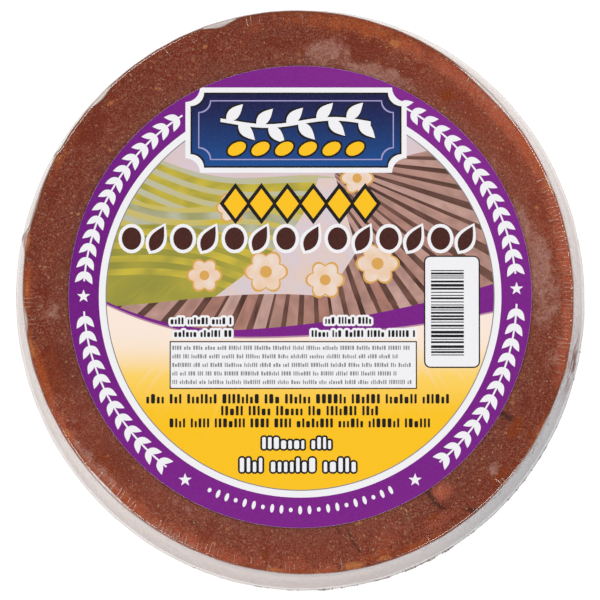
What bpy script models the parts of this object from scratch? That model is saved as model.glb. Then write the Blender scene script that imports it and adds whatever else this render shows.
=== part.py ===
"""A round block of unrefined brown cane sugar, sealed in clear shrink film, with a round label on top.

The block is a thick disc as it comes out of a bowl-shaped mould: its labelled face is the narrower
one, its side flares down to a wider lower rim, and its plan is a little oval and uneven. The film is
drawn tight over it, from rim to rim, and its weld is a thin raised line round the widest place.

Run it with: blender --background --python part.py, or from Blender's text editor.
"""

import math

import bmesh
import bpy

MM = 0.001

# The two plan outlines: a mean radius, then waves as (crests round the edge, height, degrees to a crest).
LOWER_RADIUS = 64.05 * MM
LOWER_WAVES = ((2, 0.75 * MM, 96.0), (3, 0.14 * MM, 52.0))
TOP_RADIUS = 61.35 * MM
TOP_WAVES = ((2, 0.90 * MM, 107.0), (3, 0.18 * MM, 69.0))
TOP_SHIFT_X = -0.40 * MM  # the mould's floor wasn't quite under the middle of its mouth

# The side view, from the table up.
FILM_TOP = 28.0 * MM  # the film over the labelled face
UNDER_EDGE = 3.3 * MM  # radius of the rounded edge under the lower rim
WELD_HEIGHT = 3.8 * MM  # the middle of the film's weld
WELD_HALF = 0.40 * MM  # half of the weld's height
WELD_PROUD = 0.35 * MM  # how far the weld stands out from the film
SIDE_HOLLOW = 0.35 * MM  # how far the taut film pulls in between the rims
TOP_EDGE = 0.80 * MM  # radius of the film's bend over the top rim

# The label: a die-cut round of paper, a little off the middle of the top face.
LABEL_RADIUS = 50.8 * MM
LABEL_THICKNESS = 0.20 * MM
LABEL_GAP = 0.30 * MM  # keeps the two solids apart
LABEL_CENTRE = (-0.16 * MM, -1.05 * MM)
LABEL_SIDES = 128

AROUND = 144  # points round each outline
UNDER_STEPS = 5
SIDE_STEPS = 6
TOP_STEPS = 4


def reach(radius, waves, angle):
    """How far an uneven outline lies from its centre, in the direction of an angle."""
    crests = (
        height * math.cos(count * (angle - math.radians(crest)))
        for count, height, crest in waves
    )
    return radius + sum(crests)


def side_profile():
    """The side's stations from the bottom up: (height, share of the top outline, offset outwards)."""
    stations = []
    for step in range(UNDER_STEPS):
        turn = math.pi / 2 * step / UNDER_STEPS
        height = UNDER_EDGE * (1 - math.cos(turn))
        stations.append((height, 0.0, UNDER_EDGE * (math.sin(turn) - 1)))

    weld_foot = WELD_HEIGHT - WELD_HALF
    weld_head = WELD_HEIGHT + WELD_HALF
    stations.append((weld_foot, 0.0, 0.0))
    stations.append((WELD_HEIGHT - WELD_HALF / 2, 0.0, WELD_PROUD))
    stations.append((WELD_HEIGHT + WELD_HALF / 2, 0.0, WELD_PROUD))
    stations.append((weld_head, 0.0, 0.0))

    bend_foot = FILM_TOP - TOP_EDGE
    for step in range(1, SIDE_STEPS):
        share = step / SIDE_STEPS
        height = weld_head + share * (bend_foot - weld_head)
        stations.append((height, share, -SIDE_HOLLOW * math.sin(math.pi * share)))

    for step in range(TOP_STEPS + 1):
        turn = math.pi / 2 * step / TOP_STEPS
        height = bend_foot + TOP_EDGE * math.sin(turn)
        stations.append((height, 1.0, TOP_EDGE * (math.cos(turn) - 1)))
    return stations


def ring_points(height, share, offset):
    """The points of one closed ring, between the lower outline and the top one."""
    points = []
    for step in range(AROUND):
        angle = math.tau * step / AROUND
        low = reach(LOWER_RADIUS, LOWER_WAVES, angle)
        top = reach(TOP_RADIUS, TOP_WAVES, angle)
        radius = low + share * (top - low) + offset
        x = radius * math.cos(angle) + share * TOP_SHIFT_X
        points.append((x, radius * math.sin(angle), height))
    return points


def middle_of_plan(points):
    """The middle of the box round some points, seen from above."""
    xs = [point[0] for point in points]
    ys = [point[1] for point in points]
    return (min(xs) + max(xs)) / 2, (min(ys) + max(ys)) / 2


def material(name, colour, roughness):
    """A plain Principled material."""
    made = bpy.data.materials.new(name)
    made.use_nodes = True
    shader = made.node_tree.nodes["Principled BSDF"]
    shader.inputs["Base Color"].default_value = (*colour, 1.0)
    shader.inputs["Roughness"].default_value = roughness
    shader.inputs["Metallic"].default_value = 0.0
    return made


def add_object(name, mesh_maker, look, sharp_degrees):
    """A new object whose mesh is what mesh_maker draws into an empty bmesh."""
    mesh = bpy.data.meshes.new(name)
    drawing = bmesh.new()
    mesh_maker(drawing)
    bmesh.ops.recalc_face_normals(drawing, faces=drawing.faces)
    drawing.to_mesh(mesh)
    drawing.free()
    mesh.materials.append(look)
    mesh.shade_smooth()
    mesh.set_sharp_from_angle(angle=math.radians(sharp_degrees))
    made = bpy.data.objects.new(name, mesh)
    bpy.context.collection.objects.link(made)
    return made


def draw_wrapped_block(drawing):
    """Rings up the side, bridged into a wall, with a flat face above and below."""
    rings = []
    for height, share, offset in side_profile():
        points = ring_points(height, share, offset)
        rings.append([drawing.verts.new(point) for point in points])
    for lower, upper in zip(rings, rings[1:]):
        for step in range(AROUND):
            after = (step + 1) % AROUND
            drawing.faces.new((lower[step], lower[after], upper[after], upper[step]))
    drawing.faces.new(reversed(rings[0]))
    drawing.faces.new(rings[-1])


def draw_label(drawing):
    """A thin round plate, its middle at the object's own origin."""
    bmesh.ops.create_cone(
        drawing,
        cap_ends=True,
        segments=LABEL_SIDES,
        radius1=LABEL_RADIUS,
        radius2=LABEL_RADIUS,
        depth=LABEL_THICKNESS,
    )


def main():
    for old in list(bpy.data.objects):
        bpy.data.objects.remove(old, do_unlink=True)

    middle_x, middle_y = middle_of_plan(ring_points(WELD_HEIGHT, 0.0, WELD_PROUD))

    sugar_look = material("wrapped brown sugar", (0.205, 0.048, 0.022), 0.30)
    block = add_object("wrapped_block", draw_wrapped_block, sugar_look, 40)
    block.location = (-middle_x, -middle_y, 0.0)

    label_look = material("printed paper", (0.195, 0.023, 0.262), 0.45)
    label = add_object("label", draw_label, label_look, 40)
    label_height = FILM_TOP + LABEL_GAP + LABEL_THICKNESS / 2
    label.location = (
        LABEL_CENTRE[0] - middle_x,
        LABEL_CENTRE[1] - middle_y,
        label_height,
    )


main()
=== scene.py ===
"""The looks of a round block of brown cane sugar, sealed in clear shrink film, with a round printed label.

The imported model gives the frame: one solid for the wrapped block and one for the label. Here the first
becomes the sugar, the loose grains on it, the film drawn over it and the film's pleats and weld, and the
second becomes a thin sheet of printed paper. Every size is in metres, in the frame of that model.
"""

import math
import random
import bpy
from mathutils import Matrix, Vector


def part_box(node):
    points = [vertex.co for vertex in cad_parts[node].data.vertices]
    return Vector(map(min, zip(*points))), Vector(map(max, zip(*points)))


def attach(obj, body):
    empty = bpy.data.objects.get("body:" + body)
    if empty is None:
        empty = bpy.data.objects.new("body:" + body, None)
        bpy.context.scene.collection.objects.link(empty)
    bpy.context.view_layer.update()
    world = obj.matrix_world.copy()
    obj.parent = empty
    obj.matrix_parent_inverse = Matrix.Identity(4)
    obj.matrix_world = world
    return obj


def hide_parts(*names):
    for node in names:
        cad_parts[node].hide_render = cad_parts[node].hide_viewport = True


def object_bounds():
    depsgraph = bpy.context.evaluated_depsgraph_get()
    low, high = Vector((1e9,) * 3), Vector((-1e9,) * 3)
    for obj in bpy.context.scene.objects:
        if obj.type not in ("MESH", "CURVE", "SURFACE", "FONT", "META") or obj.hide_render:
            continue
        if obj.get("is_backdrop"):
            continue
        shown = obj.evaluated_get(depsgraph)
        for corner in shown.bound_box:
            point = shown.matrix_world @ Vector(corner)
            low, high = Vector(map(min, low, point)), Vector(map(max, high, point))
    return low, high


bl_info = {
    "name": "Wrapped Sugar Block",
    "version": (1, 0, 0),
    "blender": (4, 5, 0),
    "location": "3D View > Sidebar > Sugar Block",
    "description": "Makes a block of brown cane sugar in clear film, its printed label and a studio stage",
    "category": "Add Mesh",
}

import bpy
import numpy as np
from bpy.props import FloatProperty, FloatVectorProperty, IntProperty, PointerProperty
from bpy.types import Operator, Panel, PropertyGroup
from mathutils import Vector, noise
from mathutils.geometry import delaunay_2d_cdt

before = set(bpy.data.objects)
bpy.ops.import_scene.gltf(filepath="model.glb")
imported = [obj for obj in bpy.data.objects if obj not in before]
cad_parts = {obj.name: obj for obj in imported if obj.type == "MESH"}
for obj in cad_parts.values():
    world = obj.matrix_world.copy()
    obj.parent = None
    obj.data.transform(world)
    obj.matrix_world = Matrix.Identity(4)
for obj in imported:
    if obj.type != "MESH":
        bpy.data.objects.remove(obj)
CAD_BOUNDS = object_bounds()

MM = 0.001
BODY = "root"

# ---- Places, from the frame ----

BLOCK_LOW, BLOCK_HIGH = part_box("wrapped_block")
LABEL_LOW, LABEL_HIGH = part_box("label")
FILM_TOP = BLOCK_HIGH.z
LABEL_RADIUS = (LABEL_HIGH.x - LABEL_LOW.x) / 2
LABEL_CENTRE = ((LABEL_LOW + LABEL_HIGH) / 2).xy
# The label was stuck on a little off the middle of the block's two rims.
LABEL_OFF_MIDDLE = Vector((-0.16 * MM, -1.05 * MM))
PLAN_CENTRE = LABEL_CENTRE - LABEL_OFF_MIDDLE

# The two rims in plan: a mean radius, then waves as (crests round the rim, height, degrees to a crest).
LOWER_RADIUS = 64.05 * MM
LOWER_WAVES = ((2, 0.75 * MM, 96.0), (3, 0.14 * MM, 52.0))
TOP_RADIUS = 61.35 * MM
TOP_WAVES = ((2, 0.90 * MM, 107.0), (3, 0.18 * MM, 69.0))
TOP_SHIFT_X = -0.40 * MM

# The section of the film, from the table up.
UNDER_EDGE = 3.3 * MM
WELD_HEIGHT = 3.8 * MM
WELD_PROUD = 0.22 * MM
SIDE_HOLLOW = 0.35 * MM
TOP_EDGE = 0.80 * MM

# ---- Marks on the block, as they lie on this one ----

# Dents and bumps in the sugar's top rim: (degrees, depth in mm, half width in degrees).
RIM_DENTS = (
    (2, 0.20, 8.0),
    (24, 0.45, 1.5),
    (40, 0.16, 3.5),
    (47, 0.70, 8.0),
    (106.5, 1.15, 3.0),
    (135.6, 0.85, 2.8),
    (150, 0.20, 2.0),
    (162, 0.30, 6.0),
    (186, 0.55, 3.0),
    (225.5, 0.46, 8.0),
    (236, 0.12, 3.0),
    (320, 0.28, 6.5),
    (330, 0.22, 5.0),
    (333, 0.10, 3.0),
)
RIM_BUMPS = ((169, -0.80, 1.8), (150.5, -0.35, 1.0), (344, -0.25, 2.0))

# Patches on the top face, each kind the name of an attribute of the sugar's mesh. One patch is (degrees,
# mm from the label's middle, half length along the rim, half width, strength).
PATCHES = {
    "bloom": (  # frost of fine dry sugar
        (83.8, 54.4, 4.4, 2.9, 1.00),
        (72, 52.0, 8.0, 1.6, 1.00),
        (67.5, 53.0, 1.8, 1.3, 1.25),
        (40, 52.0, 10.0, 1.3, 0.20),
        (240, 59.8, 6.0, 1.2, 0.90),
        (47, 60.2, 6.0, 0.8, 0.40),
        (0.5, 55.6, 5.0, 1.5, 0.80),
        (346, 57.4, 6.0, 1.8, 0.35),
        (6, 53.0, 9.0, 2.4, 1.00),
        (18, 51.6, 5.0, 1.2, 0.90),
        (356.5, 53.4, 4.0, 2.2, 0.75),
        (184, 55.2, 2.5, 2.5, 0.60),
        (209, 57.6, 3.0, 2.0, 0.25),
        (203, 56.4, 1.2, 3.4, 0.12),
        (219.5, 58.6, 6.4, 1.5, 0.85),
        (318.3, 56.8, 1.4, 1.2, 0.85),
        (246, 52.8, 12.0, 1.6, 0.30),
        (301, 57.6, 5.0, 1.4, 0.15),
    ),
    "dark": (  # clearer and redder
        (76, 56.4, 5.0, 2.6, 1.00),
        (64.5, 55.6, 3.6, 2.4, 0.80),
        (50, 55.2, 7.0, 2.2, 0.95),
        (33, 54.4, 7.0, 2.2, 0.50),
        (19.5, 55.6, 4.6, 1.4, 0.60),
        (90, 58.4, 2.0, 1.4, 0.50),
        (95.5, 56.0, 2.6, 2.0, 0.90),
        (141.5, 59.0, 4.8, 2.2, 1.00),
        (132, 55.5, 3.0, 2.0, 0.60),
        (110, 58.0, 3.0, 1.2, 0.45),
        (158.5, 58.6, 2.6, 1.6, 0.75),
        (172, 52.2, 3.6, 1.2, 0.35),
        (178.4, 56.2, 1.6, 1.4, 1.00),
        (196.6, 55.4, 6.4, 3.8, 1.00),
        (209.6, 56.4, 1.6, 2.2, 0.90),
        (207.0, 53.4, 1.4, 2.4, 0.75),
        (223, 54.0, 7.0, 2.4, 0.85),
        (262.2, 56.8, 0.9, 2.0, 1.00),
        (260.9, 53.4, 0.8, 1.4, 0.70),
        (249, 54.0, 2.4, 1.2, 0.55),
        (294, 60.2, 9.0, 0.9, 0.50),
        (272, 59.6, 10.0, 1.2, 0.40),
        (152, 52.6, 8.0, 1.6, 0.40),
        (138, 60.9, 24.0, 1.5, 0.40),
        (327, 52.2, 2.4, 1.2, 0.60),
        (334.5, 54.8, 2.2, 1.2, 0.90),
        (304.5, 55.6, 2.4, 1.0, 0.35),
        (339, 56.4, 3.0, 1.6, 0.20),
    ),
    "glass": (  # smooth and glassy
        (53.6, 55.0, 1.5, 1.2, 1.00),
        (217.6, 58.0, 2.2, 1.2, 0.45),
        (221, 55.6, 3.6, 1.2, 0.40),
        (196.6, 56.4, 5.0, 2.4, 0.45),
        (232.5, 58.8, 2.4, 0.8, 0.40),
        (328.6, 55.2, 2.7, 1.3, 1.00),
        (318, 58.8, 2.2, 0.9, 1.00),
        (329, 58.5, 0.8, 0.5, 1.00),
        (301, 56.4, 1.0, 0.8, 0.90),
        (262.3, 57.2, 0.8, 0.8, 0.90),
    ),
    "glow": (  # painted glow, where light comes in from the side
        (40, 60.0, 18.0, 2.0, 1.00),
        (12, 59.8, 14.0, 2.0, 1.00),
        (352, 59.4, 10.0, 1.8, 0.85),
        (62, 59.8, 10.0, 1.6, 0.60),
        (226, 59.4, 10.0, 1.8, 0.90),
        (233, 58.4, 3.4, 1.3, 0.55),
        (246, 59.8, 12.0, 2.4, 0.65),
        (268, 60.2, 14.0, 2.4, 0.35),
        (209, 59.6, 6.0, 1.6, 0.75),
        (305.5, 52.6, 2.6, 1.7, 0.75),
        (301, 57.6, 5.0, 1.4, 0.30),
        (289, 56.0, 6.0, 3.0, 0.25),
    ),
    "warm": (  # broad stretches painted lighter and warmer in the glow colour, as painted light
        (32, 56.0, 36.0, 6.0, 0.19),
        (288, 52.0, 5.0, 1.4, 0.12),
        (228, 57.0, 8.0, 2.6, 0.22),
        (225, 53.0, 8.0, 2.6, 0.08),
        (212, 56.0, 10.0, 6.0, 0.14),
        (240, 56.0, 18.0, 6.0, 0.14),
        (266, 56.0, 14.0, 6.0, 0.10),
    ),
    "orange": (  # clear syrup at the rim, with the orange light it passes painted on
        (77, 61.0, 15.0, 1.6, 0.75),
        (224, 59.8, 8.0, 1.1, 1.10),
        (239, 59.0, 5.0, 0.8, 0.45),
        (196, 56.4, 6.0, 1.4, 0.15),
        (99, 60.6, 4.0, 1.3, 0.25),
        (197, 59.4, 6.0, 1.3, 1.00),
        (186, 60.6, 7.0, 0.9, 0.80),
        (178, 60.2, 4.5, 1.1, 0.85),
        (229, 58.6, 1.8, 0.8, 0.70),
        (294, 60.4, 7.0, 1.0, 0.60),
        (12, 60.6, 14.0, 1.0, 1.00),
        (31, 60.0, 7.0, 0.9, 0.60),
        (331, 60.2, 5.0, 0.8, 0.40),
        (150, 60.6, 7.0, 0.8, 0.40),
        (287, 59.4, 5.0, 1.0, 0.55),
        (270, 61.0, 11.0, 0.9, 0.70),
    ),
    "golden": (  # thin flaky sugar
        (281.2, 60.2, 2.4, 0.8, 1.00),
        (287.8, 60.3, 1.4, 0.5, 0.80),
        (191.0, 60.0, 1.9, 0.5, 1.10),
        (210.4, 59.2, 1.2, 0.6, 0.85),
        (178.5, 60.2, 1.8, 0.6, 0.50),
        (169.0, 61.0, 2.2, 0.5, 0.80),
        (150.2, 61.2, 0.9, 0.5, 0.80),
        (264.8, 60.2, 1.4, 0.5, 0.90),
        (256.6, 60.6, 1.0, 0.4, 0.80),
        (273.5, 60.8, 1.0, 0.4, 0.80),
        (24.3, 60.0, 1.7, 0.6, 1.60),
        (14.0, 60.2, 3.0, 0.4, 0.45),
        (2.0, 60.4, 3.0, 0.4, 0.40),
        (69.6, 59.6, 1.0, 0.8, 1.20),
        (134.3, 59.6, 0.7, 0.5, 0.80),
        (110.8, 58.9, 0.5, 0.5, 1.20),
        (124.4, 55.7, 0.5, 0.4, 0.90),
        (250.9, 57.4, 0.4, 0.4, 0.90),
    ),
}
CRUMB_PATCHES = (
    (296.5, 53.4, 2.6, 2.4, 1.00),
    (290, 51.8, 4.0, 0.8, 0.60),
    (299.4, 58.0, 1.4, 0.5, 0.60),
    (283, 58.4, 5.0, 1.6, 0.20),
    (191.7, 57.0, 0.7, 0.6, 0.40),
)
# Two slivers of cane that were stirred in, close together.
FIBRE_PATCHES = ((245.2, 55.0, 0.7, 0.4, 1.00),)

# Cracks in the top face: half the width, then points from the frame's origin, all in mm.
CREASES = (
    (0.50, (27.6, -43.4), (29.6, -46.4)),
    (0.24, (29.6, -46.4), (31.6, -47.6)),
    (0.55, (43.6, -26.4), (46.0, -27.8)),
    (0.34, (36.6, -47.6), (38.9, -48.2)),
    (0.16, (8.0, -51.6), (8.7, -53.0)),
    (0.16, (10.4, -52.2), (11.3, -54.4), (13.0, -57.0)),
)

# How thickly the film's small pleats stand round its top rim: (degrees, half width in degrees, share).
PLEAT_STRETCHES = (
    (8, 15, 0.95),
    (351, 8, 0.80),
    (185, 6, 0.50),
    (238, 16, 0.50),
    (270, 16, 0.38),
    (300, 12, 0.20),
)
PLEATS_ELSEWHERE = 0.04


# ---- Small tools ----


def linear(hex_text):
    """An sRGB hex colour as linear RGBA."""
    shades = (int(hex_text[start : start + 2], 16) / 255 for start in (1, 3, 5))
    return (*(s / 12.92 if s <= 0.04045 else ((s + 0.055) / 1.055) ** 2.4 for s in shades), 1.0)


def blend_of(first, second, share):
    """A colour between two colours."""
    return tuple(a + (b - a) * share for a, b in zip(first, second))


def node(tree, kind, inputs=None, **settings):
    """Add a node: its settings, then its inputs, each a value, a socket or a node to link from.

    A number instead of an input's name counts the sockets in use.
    """
    made = tree.nodes.new(kind)
    for name, value in settings.items():
        setattr(made, name, value)
    for name, value in (inputs or {}).items():
        in_use = [socket for socket in made.inputs if socket.enabled]
        if isinstance(name, int):
            socket = in_use[name]
        else:
            socket = next(s for s in in_use if s.name == name)
        if isinstance(value, bpy.types.Node):
            value = next(s for s in value.outputs if s.enabled)
        if isinstance(value, bpy.types.NodeSocket):
            tree.links.new(value, socket)
        else:
            socket.default_value = value
    return made


def layered(tree, ground, layers):
    """Lay colours over a ground colour, one after another: (share, colour) each.

    A share may be (value, low, high, most): it rises to most while the value goes from low to high.
    """
    for share, tone in layers:
        if isinstance(share, tuple):
            value, low, high, most = share
            rise = {"Value": value, "From Min": low, "From Max": high, "To Max": most}
            share = node(tree, "ShaderNodeMapRange", rise)
        layer = {"Factor": share, "A": ground, "B": tone}
        ground = node(tree, "ShaderNodeMix", layer, data_type="RGBA")
    return ground


def finish(tree, shader, values):
    """Set a shader's inputs, each to a value or to what a node puts out first."""
    for name, value in values.items():
        if isinstance(value, bpy.types.Node):
            tree.links.new(next(s for s in value.outputs if s.enabled), shader.inputs[name])
        else:
            shader.inputs[name].default_value = value


def new_look(name):
    """A material with its node tree and its Principled shader."""
    look = bpy.data.materials.new(name)
    look.use_nodes = True
    return look, look.node_tree, look.node_tree.nodes["Principled BSDF"]


def new_piece(name, mesh):
    """A linked object, at the origin, that shows a mesh."""
    piece = bpy.data.objects.new(name, mesh)
    bpy.context.scene.collection.objects.link(piece)
    return piece


def smooth_step(value):
    """0 below 0, 1 above 1, and smooth between."""
    held = np.clip(value, 0.0, 1.0)
    return held * held * (3 - 2 * held)


def noise_at(points, width, seed, octaves=1):
    """Smooth noise of about -1 to 1 at each point, with humps about as wide as width."""
    shift = Vector((7.31 * seed, 3.17 * seed, 5.93 * seed))
    places = (points / width).tolist()
    if octaves == 1:
        return np.array([noise.noise(Vector(place) + shift) for place in places])
    return np.array([noise.fractal(Vector(place) + shift, 0.9, 2.0, octaves) for place in places])


def reach(radius, waves, angle):
    """How far an uneven outline lies from its centre, at each angle."""
    for count, height, crest in waves:
        radius = radius + height * np.cos(count * (angle - math.radians(crest)))
    return radius


def turned_away(angle, degrees):
    """The angle between each angle and a direction, from -pi to pi."""
    return (angle - math.radians(degrees) + math.pi) % math.tau - math.pi


def hump(angle, degrees, half_width):
    """1 in a direction, and less the further away each angle lies from it: half_width is in degrees."""
    return np.exp(-((turned_away(angle, degrees) / math.radians(half_width)) ** 2))


def dent_depth(angle, dents):
    """How deep the dents are at each angle."""
    depth = np.zeros_like(angle)
    for degrees, deepest, half_width in dents:
        depth += deepest * MM * hump(angle, degrees, half_width)
    return depth


def set_attribute(mesh, name, values, kind="FLOAT"):
    """Store one value, or one vector, for each point of a mesh."""
    attribute = mesh.attributes.new(name, kind, "POINT")
    field = "vector" if kind == "FLOAT_VECTOR" else "value"
    attribute.data.foreach_set(field, np.asarray(values, np.float32).ravel())


# ---- A closed round form, as a stack of rings ----


class RoundForm:
    """Rings from the middle of the top, out over the rim, down the side and in under the block.

    Each ring has a radius and a height for every column, the way its surface faces, as (outward, upward),
    and its share of the shift of the top rim.
    """

    def __init__(self, columns):
        self.columns = columns
        self.angle = np.arange(columns) / columns * math.tau
        self.radii = []
        self.heights = []
        self.facings = []
        self.shifts = []

    def ring(self, radius, height, facing, shift):
        """Add one ring."""
        self.radii.append(radius * np.ones(self.columns))
        self.heights.append(height * np.ones(self.columns))
        self.facings.append(facing)
        self.shifts.append(shift)

    def section(self, top_rim, low_rim, top, bottom, top_bend, low_bend, low_height, hollow, steps):
        """Add all the rings of a disc with rounded edges and a slightly hollow side."""
        flat = top_rim - top_bend
        for share in steps["top"]:
            self.ring(flat * share, top, (0.0, 1.0), 1.0)
        for turn in np.linspace(0, math.pi / 2, steps["bend"] + 1)[1:]:
            radius = flat + top_bend * math.sin(turn)
            height = top - top_bend * (1 - math.cos(turn))
            self.ring(radius, height, (math.sin(turn), math.cos(turn)), 1.0)
        for share in np.linspace(0, 1, steps["side"] + 1)[1:]:
            radius = top_rim + (low_rim - top_rim) * share - hollow * math.sin(math.pi * share)
            height = (top - top_bend) * (1 - share) + low_height * share
            self.ring(radius, height, (1.0, 0.1), 1.0 - share)
        depth = low_height - bottom
        for turn in np.linspace(0, math.pi / 2, steps["under"] + 1)[1:]:
            radius = low_rim - low_bend * (1 - math.cos(turn))
            self.ring(radius, low_height - depth * math.sin(turn), (math.cos(turn), -math.sin(turn)), 0.0)
        for share in steps["base"]:
            self.ring((low_rim - low_bend) * share, bottom, (0.0, -1.0), 0.0)

    def points(self):
        """All the rings' points and the two poles: their places, the ways they face, and flat places.

        A flat place is as the film lay before it was drawn over: round the block, and along its section.
        """
        radius = np.array(self.radii)
        height = np.array(self.heights)
        facing = np.array(self.facings)
        shift = np.array(self.shifts)[:, None] * TOP_SHIFT_X
        x = PLAN_CENTRE.x + shift + radius * np.cos(self.angle)
        y = PLAN_CENTRE.y + radius * np.sin(self.angle)
        places = np.stack([x, y, height], axis=-1)
        outward = facing[:, 0, None] * np.ones(self.columns)
        upward = facing[:, 1, None] * np.ones(self.columns)
        ways = np.stack([outward * np.cos(self.angle), outward * np.sin(self.angle), upward], axis=-1)
        steps = np.hypot(np.diff(radius, axis=0), np.diff(height, axis=0))
        along = np.concatenate([radius[:1], steps]).cumsum(axis=0)
        round_x = LOWER_RADIUS * np.cos(self.angle) + 0 * along
        round_y = LOWER_RADIUS * np.sin(self.angle) + 0 * along
        sheet = np.stack([round_x, round_y, along], axis=-1)
        poles = [[*PLAN_CENTRE, height[0, 0]], [*PLAN_CENTRE, height[-1, 0]]]
        return (
            np.concatenate([places.reshape(-1, 3), poles]),
            np.concatenate([ways.reshape(-1, 3), [[0, 0, 1.0], [0, 0, -1.0]]]),
            np.concatenate([sheet.reshape(-1, 3), [[0, 0, 0.0], [0, 0, along.max()]]]),
        )

    def faces(self, first=0, inside_out=False):
        """The quads between the rings, and the fans round the two poles."""
        rings = len(self.radii)
        column = np.arange(self.columns)
        after = (column + 1) % self.columns
        faces = []
        for ring in range(rings - 1):
            inner = first + ring * self.columns
            outer = inner + self.columns
            quads = np.stack([inner + column, outer + column, outer + after, inner + after], axis=-1)
            faces.extend(quads.tolist())
        top_pole = first + rings * self.columns
        last = first + (rings - 1) * self.columns
        top_fan = np.stack([top_pole + 0 * column, first + column, first + after], axis=-1)
        low_fan = np.stack([last + column, top_pole + 1 + 0 * column, last + after], axis=-1)
        faces.extend(top_fan.tolist())
        faces.extend(low_fan.tolist())
        if inside_out:
            faces = [face[::-1] for face in faces]
        return faces


def patch_mask(points, patches):
    """How far each point lies inside patches on the top face: 0 well outside, 0.5 at an edge, up to 1."""
    mask = np.zeros(len(points))
    across = points[:, 0] - LABEL_CENTRE.x
    up = points[:, 1] - LABEL_CENTRE.y
    angle = np.arctan2(up, across)
    distance = np.hypot(across, up)
    for degrees, from_middle, half_length, half_width, strength in patches:
        along = turned_away(angle, degrees) * from_middle / half_length
        out = (distance / MM - from_middle) / half_width
        mask = np.maximum(mask, strength * np.clip(1.5 - np.hypot(along, out), 0, 1))
    return mask


def crease_depth(points):
    """How deep in a crack each point lies, from 0 to 1."""
    depth = np.zeros(len(points))
    for half_width, *route in CREASES:
        stops = np.array(route) * MM
        for start, end in zip(stops, stops[1:]):
            run = end - start
            share = np.clip((points[:, :2] - start) @ run / (run @ run), 0, 1)
            gap = np.linalg.norm(points[:, :2] - start - share[:, None] * run, axis=1)
            depth = np.maximum(depth, smooth_step(1.1 - gap / (2 * half_width * MM)))
    return depth


# ---- Sizes and colours that a user can change ----


def size(name, description, millimetres):
    """A length that the sidebar shows, given here in millimetres."""
    return FloatProperty(
        name=name, description=description, default=millimetres * MM, unit="LENGTH", precision=5
    )


def share_of(name, description, default):
    """A share from 0 to 1."""
    return FloatProperty(
        name=name, description=description, default=default, min=0.0, max=1.0, subtype="FACTOR"
    )


def strength(name, description, default):
    """A strength, which is never below 0."""
    return FloatProperty(name=name, description=description, default=default, min=0.0)


def tint(name, description, hex_text):
    """A colour, given here as sRGB hex."""
    return FloatVectorProperty(
        name=name, description=description, default=linear(hex_text), size=4, min=0.0, max=1.0,
        subtype="COLOR",
    )


class SugarSettings(PropertyGroup):
    """The block of sugar inside the film."""

    rim_radius: size("Rim radius", "Mean radius of the sugar at its top rim", 61.26)
    rim_round: size("Rim rounding", "Mean radius of the rounding of the top rim", 1.0)
    under_film: size("Under film", "How far the sugar's top lies below the film", 0.36)
    side_gap: size("Side gap", "How far the sugar's side lies inside the film", 0.32)
    relief: size("Relief", "Height of the broad waves in the surface", 0.10)
    grain_relief: size("Grain relief", "Height of the fine lumps in the surface", 0.045)
    crack_depth: size("Crack depth", "Depth of the cracks in the top face", 0.25)
    brown: tint("Brown", "The sugar's main colour", "#7b2009")
    deep_brown: tint("Deep brown", "Where the syrup set clearer and redder", "#63190d")
    tan: tint("Tan", "Where the grain is coarse and dry", "#804234")
    dark: tint("Dark", "Glassy red-brown patches", "#752209")
    amber: tint("Amber", "Smooth amber patches", "#883404")
    # Painted light: the glow near the rim.
    glow: tint("Glow", "Near the rim, where light comes in from the side", "#c45e40")
    # Partly the syrup's own colour, partly painted light: the orange that shines through it.
    orange: tint("Orange", "Clear syrup at the rim, where orange light comes through", "#b04c12")
    golden: tint("Golden", "Thin flaky sugar at the rim", "#c6763c")
    bloom: tint("Bloom", "Frosted patches of fine dry sugar", "#b2837a")
    # Partly fine sugar dust, partly a painted sheen: a bluish-grey veil like the film's reflection, thicker
    # towards the label.
    dust_and_sheen: tint("Dust_and_sheen", "Fine sugar dust that lies thicker towards the label", "#4f686a")
    # Painted light: the orange of light passing through the thin edge.
    rim: tint("Rim", "The thin edge, where light passes through", "#853406")
    speck: tint("Speck", "Tan grains set in the surface", "#be7f50")
    pale_speck: tint("Pale speck", "Fine pale grains set in the surface", "#ae7c5e")
    # Painted shade: the dark inside of a crack, where little light reaches.
    crack: tint("Crack", "The inside of a crack", "#34110d")


class GrainSettings(PropertyGroup):
    """Loose grains between the sugar and the film."""

    crumb: size("Crumb", "Largest size of a tan crumb", 0.75)
    crystal: size("Crystal", "Largest size of a clear crystal", 0.30)
    fibre: size("Fibre", "Length of a sliver of cane", 1.1)
    crumb_colour: tint("Crumb colour", "Tan, dry sugar", "#b98257")
    crystal_colour: tint("Crystal colour", "Clear sugar", "#e9d9cf")
    fibre_colour: tint("Fibre colour", "Scorched cane", "#1d1310")
    seed: IntProperty(name="Seed", description="Changes where the grains lie", default=4, min=0)


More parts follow.
